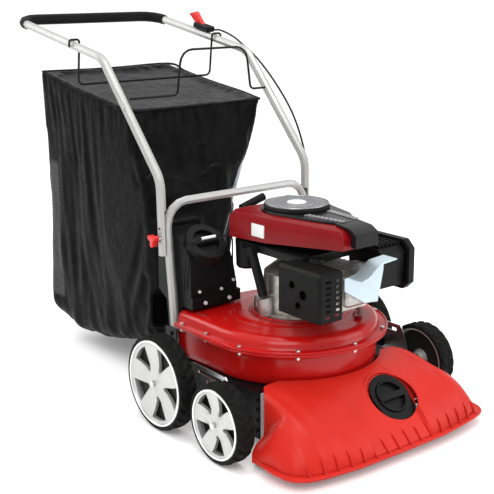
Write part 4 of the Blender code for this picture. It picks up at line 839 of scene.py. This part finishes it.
def housing_skins():
    """The two pressed halves with rounded shoulders, their flanges and the bolts."""
    upper = [(0.228, 0.232, 0.2410), (0.2615, 0.2550, 0.2410), (0.2625, 0.2560, 0.2420),
             (0.2625, 0.2560, 0.2438), (0.2615, 0.2550, 0.2446), (0.2400, 0.2440, 0.2448),
             (0.2380, 0.2420, 0.2470), (0.2362, 0.2410, 0.2560), (0.2325, 0.2385, 0.2640),
             (0.2260, 0.2340, 0.2700), (0.2170, 0.2280, 0.2735), (0.2050, 0.2200, 0.2750)]
    rings = [housing_ring(*row) for row in upper]
    rings += [housing_ring(r, 0, z, DRUM) for r, z in
              ((0.166, 0.2765), (0.160, 0.2785), (0.155, 0.2815), (0.148, 0.2830))]
    rings += [housing_ring(0.040, 0, z, CRANK) for z in (0.2830, 0.2800)]
    rings.append(housing_ring(0.148, 0, 0.2798, DRUM))
    rings += [housing_ring(r - 0.0035, w - 0.0035, z - 0.0035) for r, w, z in upper[:6:-1]]
    piece("upper_shell", loft(rings), "red_steel", "chassis", ("upper_housing",), 40)
    lower = [(0.2280, 0.2320, 0.2400), (0.2615, 0.2550, 0.2400), (0.2625, 0.2560, 0.2392),
             (0.2625, 0.2560, 0.2372), (0.2615, 0.2550, 0.2362), (0.2370, 0.2420, 0.2358),
             (0.2350, 0.2405, 0.2330), (0.2345, 0.2401, 0.2150), (0.2338, 0.2395, 0.1930),
             (0.2331, 0.2390, 0.1730), (0.2325, 0.2385, 0.1560), (0.2290, 0.2350, 0.1500),
             (0.2200, 0.2260, 0.1472)]
    rings = [housing_ring(*row) for row in lower]
    rings += [housing_ring(0.072, 0, z, CRANK) for z in (0.1472, 0.1505)]
    rings += [housing_ring(r - 0.0035, w - 0.0035, z + 0.0033) for r, w, z in lower[:6:-1]]
    piece("lower_shell", loft(rings), "red_steel", "chassis", ("lower_housing",), 40)
    bolts = []
    spots = [(-0.2455, -0.150), (-0.2465, -0.256)]
    for angle in (-161, -126, -90, -55, -20, 15, 50):
        turn = math.radians(angle)
        spots.append((DRUM[0] + 0.2515 * math.cos(turn), DRUM[1] + 0.2515 * math.sin(turn)))
    for x, y in spots:
        bolts.append(bar((x, y, 0.2444), (x, y, 0.2510), 0.0064, 6, 0.0060))
        bolts.append(bar((x, y, 0.2290), (x, y, 0.2364), 0.0064, 6, 0.0060))
        bolts.append(bar((x, y, 0.2250), (x, y, 0.2300), 0.0032, 10))
    piece("flange_bolts", bolts, "zinc")


def housing_detail():
    """The pressed groove round the engine's base and the raised pad beside it."""
    cx, cy = CRANK
    path = [(cx + x, cy + y, 0.2832) for x, y in circle_points(0.124, 72)]
    # The groove is painted in the darker red: painted shade.
    piece("base_groove", sweep(path, 0.0040, 10, 0.35), "red_shadow")
    path = [(cx + x, cy + y, 0.2850) for x, y in circle_points(0.1165, 72)]
    piece("base_ring", sweep(path, 0.0050, 12, 0.6), "red_steel")
    arcs = [math.radians(-62 + 30 * i / 16) for i in range(17)]
    pad = [(cx + 0.178 * math.cos(a), cy + 0.178 * math.sin(a)) for a in arcs]
    pad += [(cx + 0.160 * math.cos(a), cy + 0.160 * math.sin(a)) for a in reversed(arcs)]
    # The raised pad is painted in the same darker red: painted shade.
    piece("housing_pad", slab(pad, "Z", 0.2808, 0.2842, 0.0008), "red_shadow")
    for name, r, z, w in (("flange_bead_upper", 0.2600, 0.2450, 0.0022),
                          ("flange_bead_lower", 0.2600, 0.2355, 0.0022)):
        arcs = [math.radians(70 - 250 * i / 72) for i in range(73)]
        path = [(DRUM[0] + r * math.cos(a), DRUM[1] + r * math.sin(a), z) for a in arcs]
        path += [(-0.2535, DRUM[1] + 0.06, z), (-0.2535, -0.140, z)]
        piece(name, sweep([p for p in path if p[0] > -0.2545], w, 10), "red_steel")
    label = block((-0.212, -0.208, 0.2744), (-0.150, -0.168, 0.2752), 0.0003)
    piece("rating_plate", label, "dark_label")


# ---------------------------------------------------------------- nozzle
def between(x, table):
    """Straight-line reading of a table of pairs, the same on both sides."""
    x = abs(x)
    for (x0, v0), (x1, v1) in zip(table, table[1:]):
        if x <= x1:
            return v0 + (v1 - v0) * (x - x0) / (x1 - x0)
    return table[-1][1]


ROOF_FRONT = ((0, 0.168), (0.150, 0.167), (0.205, 0.162), (0.250, 0.147), (0.285, 0.124),
              (0.308, 0.094), (0.325, 0.056))
ROOF_REAR = ((0, 0.168), (0.150, 0.168), (0.215, 0.166), (0.246, 0.160), (0.258, 0.150),
             (0.263, 0.134), (0.267, 0.070), (0.273, 0.062), (0.305, 0.057), (0.318, 0.050),
             (0.325, 0.040))
ROOF_CURVE = ((0, 1.35), (0.150, 1.8), (0.250, 3.0), (0.325, 3.2))
LIP_LINE = ((0, -0.737), (0.150, -0.735), (0.250, -0.722), (0.290, -0.710), (0.315, -0.690),
            (0.325, -0.665))
REAR_LINE = ((0, -0.4715), (0.228, -0.4715), (0.264, -0.520), (0.325, -0.545))
MOUTH_HALF = 0.325
LIP_TOP = 0.036
RIB_TOP = 0.058


def roof_point(x, forward):
    """A point of the hood; forward runs from 0 at the rear edge to 1 at the lip."""
    rear, reach = between(x, REAR_LINE), DRUM_R + 0.009
    if abs(x) < reach:
        rear = min(rear, DRUM[1] - math.sqrt(reach * reach - x * x))
    slope = (1 - forward ** between(x, ROOF_CURVE)) ** (1.0 if abs(x) < 0.1 else 0.75)
    blend = min(1.0, forward / 0.42)
    blend = blend * blend * (3 - 2 * blend)
    top = between(x, ROOF_REAR) * (1 - blend) + between(x, ROOF_FRONT) * blend
    y = rear + (between(x, LIP_LINE) - rear) * forward
    return (x, y, LIP_TOP + (top - LIP_TOP) * slope)


def port_point(depth):
    """A point on the hose port's axis, counted outward from its face."""
    return Vector(PORT_CENTRE) + PORT_AXIS * depth


def port_ring(near, far, radius, hole):
    """A round ring on the hose port's axis."""
    side = Vector((1, 0, 0))
    up = PORT_AXIS.cross(side)
    rings = []
    for r, d in ((hole, near), (radius, near), (radius, far), (hole, far)):
        rings.append([port_point(d) + side * a + up * b for a, b in circle_points(r, 64)[:-1]])
    return loft(rings)


def nozzle_skin():
    """The moulded hood with its step beside the wheels, lip, inlet duct and port seat."""
    columns = [-MOUTH_HALF + 2 * MOUTH_HALF * i / 110 for i in range(111)]
    rows = [i / 26 for i in range(27)]
    bm = bmesh.new()
    grid = [[bm.verts.new(roof_point(x, f)) for f in rows] for x in columns]
    low = [[bm.verts.new((v.co.x, v.co.y, 0.018)) if i in (0, 110) or j in (0, 26) else None
            for j, v in enumerate(line)] for i, line in enumerate(grid)]
    for i in range(110):
        for j in range(26):
            bm.faces.new((grid[i][j], grid[i + 1][j], grid[i + 1][j + 1], grid[i][j + 1]))
    rim = ([(i, 0) for i in range(110)] + [(110, j) for j in range(26)]
           + [(i, 26) for i in range(110, 0, -1)] + [(0, j) for j in range(26, 0, -1)])
    for (a, b), (c, d) in zip(rim, rim[1:] + rim[:1]):
        bm.faces.new((grid[a][b], grid[c][d], low[c][d], low[a][b]))
    bmesh.ops.recalc_face_normals(bm, faces=bm.faces)
    obj = mesh_object("nozzle_hood", bm)
    wall = obj.modifiers.new("wall", "SOLIDIFY")
    wall.thickness = 0.0035
    wall.offset = -1
    subtract(obj, bar(port_point(0.0), port_point(0.08), 0.0690, 64))
    subtract(obj, bar(port_point(-0.045), port_point(0.02), 0.0700, 64))
    finish_shape(obj, materials["orange_plastic"], 42)
    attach(obj, "chassis")
    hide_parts("nozzle")
    outer = [(0.262, -0.545), (0.322, -0.560), (0.336, -0.604), (0.340, -0.648), (0.330, -0.694),
             (0.305, -0.719), (0.250, -0.733), (0.150, -0.746), (0.0, -0.7475)]
    inner = [(0.0, -0.728), (0.150, -0.726), (0.250, -0.713), (0.300, -0.690)]
    plan = (outer + [(-x, y) for x, y in reversed(outer[:-1])]
            + [(-x, y) for x, y in reversed(inner[1:])] + inner)
    piece("nozzle_lip", slab(plan, "Z", 0.0290, 0.0335, 0.0010), "orange_plastic")
    piece("port_seat", port_ring(-0.034, -0.0003, 0.0765, PORT_R + 0.0003),
          "orange_plastic", "chassis", (), 40)
    ridge = [port_point(0.0005) + Vector((1, 0, 0)) * 0.0735 * math.cos(a)
             + Vector((0, math.sin(PORT_TILT), math.cos(PORT_TILT))) * 0.0735 * math.sin(a)
             for a in [math.radians(40 + 190 * i / 40) for i in range(41)]]
    piece("port_ridge", sweep(ridge, 0.0042, 12), "orange_plastic")


def nozzle_detail():
    """Upright ribs along the lip and the bead on its edge."""
    fins = []
    for i in range(16):
        x = -0.290 + 0.0385 * i
        line = [(x, between(x, LIP_LINE) - 0.0105, 0.0335)]
        forward = 1.0
        while roof_point(x, forward)[2] < RIB_TOP:
            line.append(tuple(Vector(roof_point(x, forward)) + Vector((0, -0.0016, 0.0012))))
            forward -= 0.02
        line.append(roof_point(x, forward - 0.01))
        fins.append(sweep(line, 0.0021, 8))
    piece("nozzle_fins", fins, "orange_plastic")
    edge = [(0.336, -0.606), (0.3385, -0.648), (0.329, -0.693), (0.304, -0.7175),
            (0.250, -0.7315), (0.150, -0.7445), (0.0, -0.7460)]
    path = [(x, y, 0.0312) for x, y in edge] + [(-x, y, 0.0312) for x, y in reversed(edge[:-1])]
    piece("nozzle_bead", sweep(curve_through(path, 6), 0.0034, 10), "orange_plastic")


# ---------------------------------------------------------------- engine detail
def muffler_detail():
    """Dark discs of painted shade for the guard's holes, rings on the guard, its stay, the baffle
    and the foot of the oil filler.
    """
    spots = []
    for i in range(7):
        for j in range(5):
            y, z = -0.456 - 0.0125 * j, 0.350 + 0.0125 * i
            if j * 1.2 + i > 8.2:
                continue
            spots.append((y - (0.005 if i % 2 else 0.0), z))
    for i in range(5):
        spots += [(-0.530 - 0.011 * i, 0.349), (-0.538 - 0.010 * i, 0.359)]
    # Each hole is a dark disc on the guard's face: painted shade where the opening would be.
    holes = [bar((-0.1626, y, z), (-0.1612, y, z), 0.0024, 10) for y, z in spots]
    piece("guard_hole_shade", holes, "shadow_black")
    rings = []
    for y, z, r in ((-0.500, 0.420, 0.009), (-0.540, 0.402, 0.012), (-0.522, 0.372, 0.009)):
        path = [(-0.1622, y + a, z + b) for a, b in circle_points(r + 0.0008, 28)]
        rings.append(sweep(path, 0.0010, 6))
    piece("guard_rings", rings, "dark_steel")
    baffle = block((-0.112, -0.480, 0.4520), (0.080, -0.240, 0.4740), 0.003)
    piece("cooling_baffle", baffle, "black_steel")
    foot = bar((-0.062, -0.263, 0.284), (-0.062, -0.263, 0.318), 0.024, 24, 0.020, 0.002)
    piece("filler_boss", foot, "aluminium")
    puck = bar((-0.086, -0.505, 0.4645), (-0.086, -0.505, 0.4745), 0.020, 32, 0.018, 0.001)
    piece("guard_stay", puck, "black_steel")


def air_box_detail():
    """Ribs over the air box and the strap that holds it to the housing."""
    ribs = [block((0.104 + 0.014 * i, -0.532, 0.4700), (0.108 + 0.014 * i, -0.438, 0.4790),
                  0.001) for i in range(6)]
    ribs.append(block((0.102, -0.500, 0.4700), (0.184, -0.494, 0.4770), 0.001))
    piece("air_box_ribs", ribs, "black_plastic")
    strap = curve_through([(0.150, -0.470, 0.366), (0.152, -0.452, 0.345),
                           (0.152, -0.424, 0.318), (0.150, -0.405, 0.292)])
    piece("air_box_strap", sweep(strap, 0.011, 10, 0.3), "rubber")
    inner = [(-0.529, 0.362), (-0.433, 0.362), (-0.417, 0.378), (-0.417, 0.458),
             (-0.433, 0.475), (-0.529, 0.475), (-0.549, 0.458), (-0.549, 0.378)]
    piece("air_cover_face", slab(inner, "X", 0.2062, 0.2100, 0.0016), "black_plastic",
          "air_cover")


def chute_detail():
    """White tip of the bail and the bolts at the foot of the chute."""
    spot = Vector((-0.167, -0.145, 0.450)) + Vector((0, -math.cos(math.radians(50)),
                                                     math.sin(math.radians(50)))) * 0.0345
    tip = sweep([spot + Vector((x, 0, 0)) for x in (-0.022, -0.012, 0.0, 0.012, 0.022)],
                0.0042, 12)
    piece("bail_tip", tip, "white", "wire_bail")
    heads = [bar((x, -0.1785, z), (x, -0.1835, z), 0.0055, 6)
             for x, z in ((-0.190, 0.302), (-0.110, 0.302))]
    heads += [bar((x, -0.1665, z), (x, -0.1705, z), 0.0046, 6)
              for x, z in ((-0.200, 0.332), (-0.127, 0.327), (-0.086, 0.345))]
    piece("chute_bolts", heads, "bright_zinc_and_highlight")


def lever_wedge():
    """The red thumb lever leaning back over its housing."""
    outline = [(0.4900, 1.0350), (0.4520, 1.0420), (0.4180, 1.0030), (0.4190, 0.9930),
               (0.4340, 0.9920), (0.4500, 1.0000)]
    piece("thumb_lever", slab(outline, "X", 0.2480, 0.2620, 0.0030), "knob_red",
          "throttle_lever", ("throttle_lever",))


def star_knobs():
    """Three-lobed red knobs at the handle's fold."""
    y, z = -0.084, 0.472
    lobes = []
    for i in range(48):
        turn = 2 * math.pi * i / 48
        r = 0.0130 + 0.0062 * math.cos(3 * (turn - math.radians(-90)))
        lobes.append((y + r * math.cos(turn), z + r * math.sin(turn)))
    for side, sign in (("left", 1), ("right", -1)):
        lo, hi = sorted((sign * 0.2795, sign * 0.2945))
        parts = [slab(lobes, "X", lo, hi, 0.0022),
                 bar((sign * 0.2752, y, z), (sign * 0.2800, y, z), 0.0105, 24)]
        piece(f"star_knob_{side}", parts, "knob_red", f"wing_knob_{side}",
              (f"wing_knob_{side}",))


def handle_detail():
    """The bracket that the front wire is hooked into."""
    bracket = slab([(0.070, 0.800), (0.106, 0.838), (0.098, 0.850), (0.060, 0.812)], "X",
                   -0.2700, -0.2680, 0.0004)
    piece("wire_bracket", bracket, "tube", "handle")


# ---------------------------------------------------------------- light and camera
def studio():
    scene = bpy.context.scene
    world = bpy.data.worlds.new("studio")
    scene.world = world
    world.use_nodes = True
    tree = world.node_tree
    where = tree.nodes.new("ShaderNodeTexCoord")
    split = tree.nodes.new("ShaderNodeSeparateXYZ")
    tree.links.new(where.outputs["Generated"], split.inputs[0])
    glow = remap(tree, split.outputs["Z"], 0.50, 1.20, 0.0, 0.9)
    tree.nodes["Background"].inputs["Color"].default_value = (1, 1, 1, 1)
    tree.links.new(glow, tree.nodes["Background"].inputs["Strength"])
    scene.view_settings.view_transform = "Standard"
    bm = bmesh.new()
    bmesh.ops.create_grid(bm, x_segments=1, y_segments=1, size=400.0)
    floor = mesh_object("floor", bm)
    pale = finish_material("floor", (0.96, 0.96, 0.96), 0.8, vary=0.005, patches=1.0,
                           specular=0.1)
    set_inputs(pale.node_tree.nodes["Principled BSDF"], Emission_Color=(1, 1, 1, 1),
               Emission_Strength=0.14)
    floor.data.materials.append(pale)
    floor.location.z = -0.0015
    for name, place, target, size, power in (
            ("key", (-2.3, -2.2, 3.0), (0.0, -0.2, 0.3), 2.2, 62),
            ("fill", (2.4, -2.6, 1.6), (0.0, -0.2, 0.4), 2.0, 30),
            ("back", (-1.4, 2.8, 2.6), (0.0, 0.2, 0.5), 1.8, 40),
            ("top", (0.3, -0.4, 3.4), (0.0, -0.2, 0.3), 1.6, 35)):
        data = bpy.data.lights.new(name, "AREA")
        data.size = size
        data.energy = power
        light = bpy.data.objects.new(name, data)
        light.location = place
        aim = Vector(target) - Vector(place)
        light.rotation_euler = aim.to_track_quat("-Z", "Y").to_euler()
        scene.collection.objects.link(light)


CAMERA_TURN, CAMERA_TILT, CAMERA_ROLL = -38.253, 14.432, 0.442     # degrees, solved
CAMERA_PLACE = (-1.7315, -2.3009, 1.1328)
LENS_MM = 75.12
SENSOR_MM = 36


def camera():
    a, e, r = [math.radians(v) for v in (CAMERA_TURN, CAMERA_TILT, CAMERA_ROLL)]
    back = Vector((math.sin(a) * math.cos(e), -math.cos(a) * math.cos(e), math.sin(e)))
    right = Vector((math.cos(a), math.sin(a), 0))
    up = back.cross(right)
    x_axis = math.cos(r) * right - math.sin(r) * up
    y_axis = math.sin(r) * right + math.cos(r) * up
    data = bpy.data.cameras.new("camera")
    data.lens = LENS_MM
    data.sensor_width = SENSOR_MM
    cam = bpy.data.objects.new("camera", data)
    turn = Matrix((x_axis, y_axis, back)).transposed().to_4x4()
    cam.matrix_world = Matrix.Translation(CAMERA_PLACE) @ turn
    bpy.context.scene.collection.objects.link(cam)
    bpy.context.scene.camera = cam


# ---------------------------------------------------------------- CAD nodes shown as they are
FINISHES = {
    "zinc": ("rear_axle", "front_cradle", "knob_bolt_left", "knob_bolt_right",
             "clamp_bolt_left", "clamp_bolt_right"),
    "black_steel": ("wire_bail", "side_plate_left", "side_plate_right", "hook_wire", "arch_wire"),
    "tube": ("lower_frame", "upper_handle"),
    "rubber": ("nozzle_skid_left", "nozzle_skid_right", "throttle_cable_upper",
               "throttle_cable_lower", "spark_plug", "starter_grip"),
    "black_plastic": ("port_flange", "port_plug", "discharge_chute", "chute_cap",
                      "throttle_housing", "recoil_pulley", "fuel_tank", "fuel_cap",
                      "oil_tube", "oil_cap", "air_box", "air_cover"),
    "gloss_black": ("top_cover",),
    "red_plastic": ("engine_shroud",),
    "aluminium": ("crankcase", "cylinder", "valve_cover", "carburettor"),
    "steel": ("crankshaft", "impeller"),
    "cast_iron": ("flywheel",),
    "dark_steel": ("muffler", "muffler_guard"),
    "zinc_sheet": ("heat_deflector",),
    # The recoil screen takes the shadow black: painted shade between the silver bars.
    "shadow_black": ("recoil_screen",),
    "foam": ("handle_grip",),
}
SOFTENED = {"discharge_chute": 0.0015, "port_flange": 0.0012, "air_cover": 0.0014,
            "air_box": 0.0012, "top_cover": 0.0012, "engine_shroud": 0.0018,
            "muffler_guard": 0.0008, "heat_deflector": 0.0006}


def dress_nodes():
    group = smooth_group()
    for finish, names in FINISHES.items():
        for name in names:
            dress(name, materials[finish], group, SOFTENED.get(name, 0.0))


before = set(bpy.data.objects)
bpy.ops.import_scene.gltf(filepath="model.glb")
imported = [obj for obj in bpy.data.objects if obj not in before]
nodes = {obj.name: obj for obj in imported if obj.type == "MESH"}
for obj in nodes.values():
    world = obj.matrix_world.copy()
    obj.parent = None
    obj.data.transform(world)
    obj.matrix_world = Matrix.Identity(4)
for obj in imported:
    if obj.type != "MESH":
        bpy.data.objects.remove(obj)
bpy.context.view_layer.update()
materials = make_materials()
camera()
studio()
dress_nodes()
wheels()
bag()
bag_trim()
screen_detail()
cover_detail()
shroud_detail()
housing_detail()
housing_skins()
nozzle_skin()
nozzle_detail()
muffler_detail()
air_box_detail()
chute_detail()
lever_wedge()
star_knobs()
handle_detail()
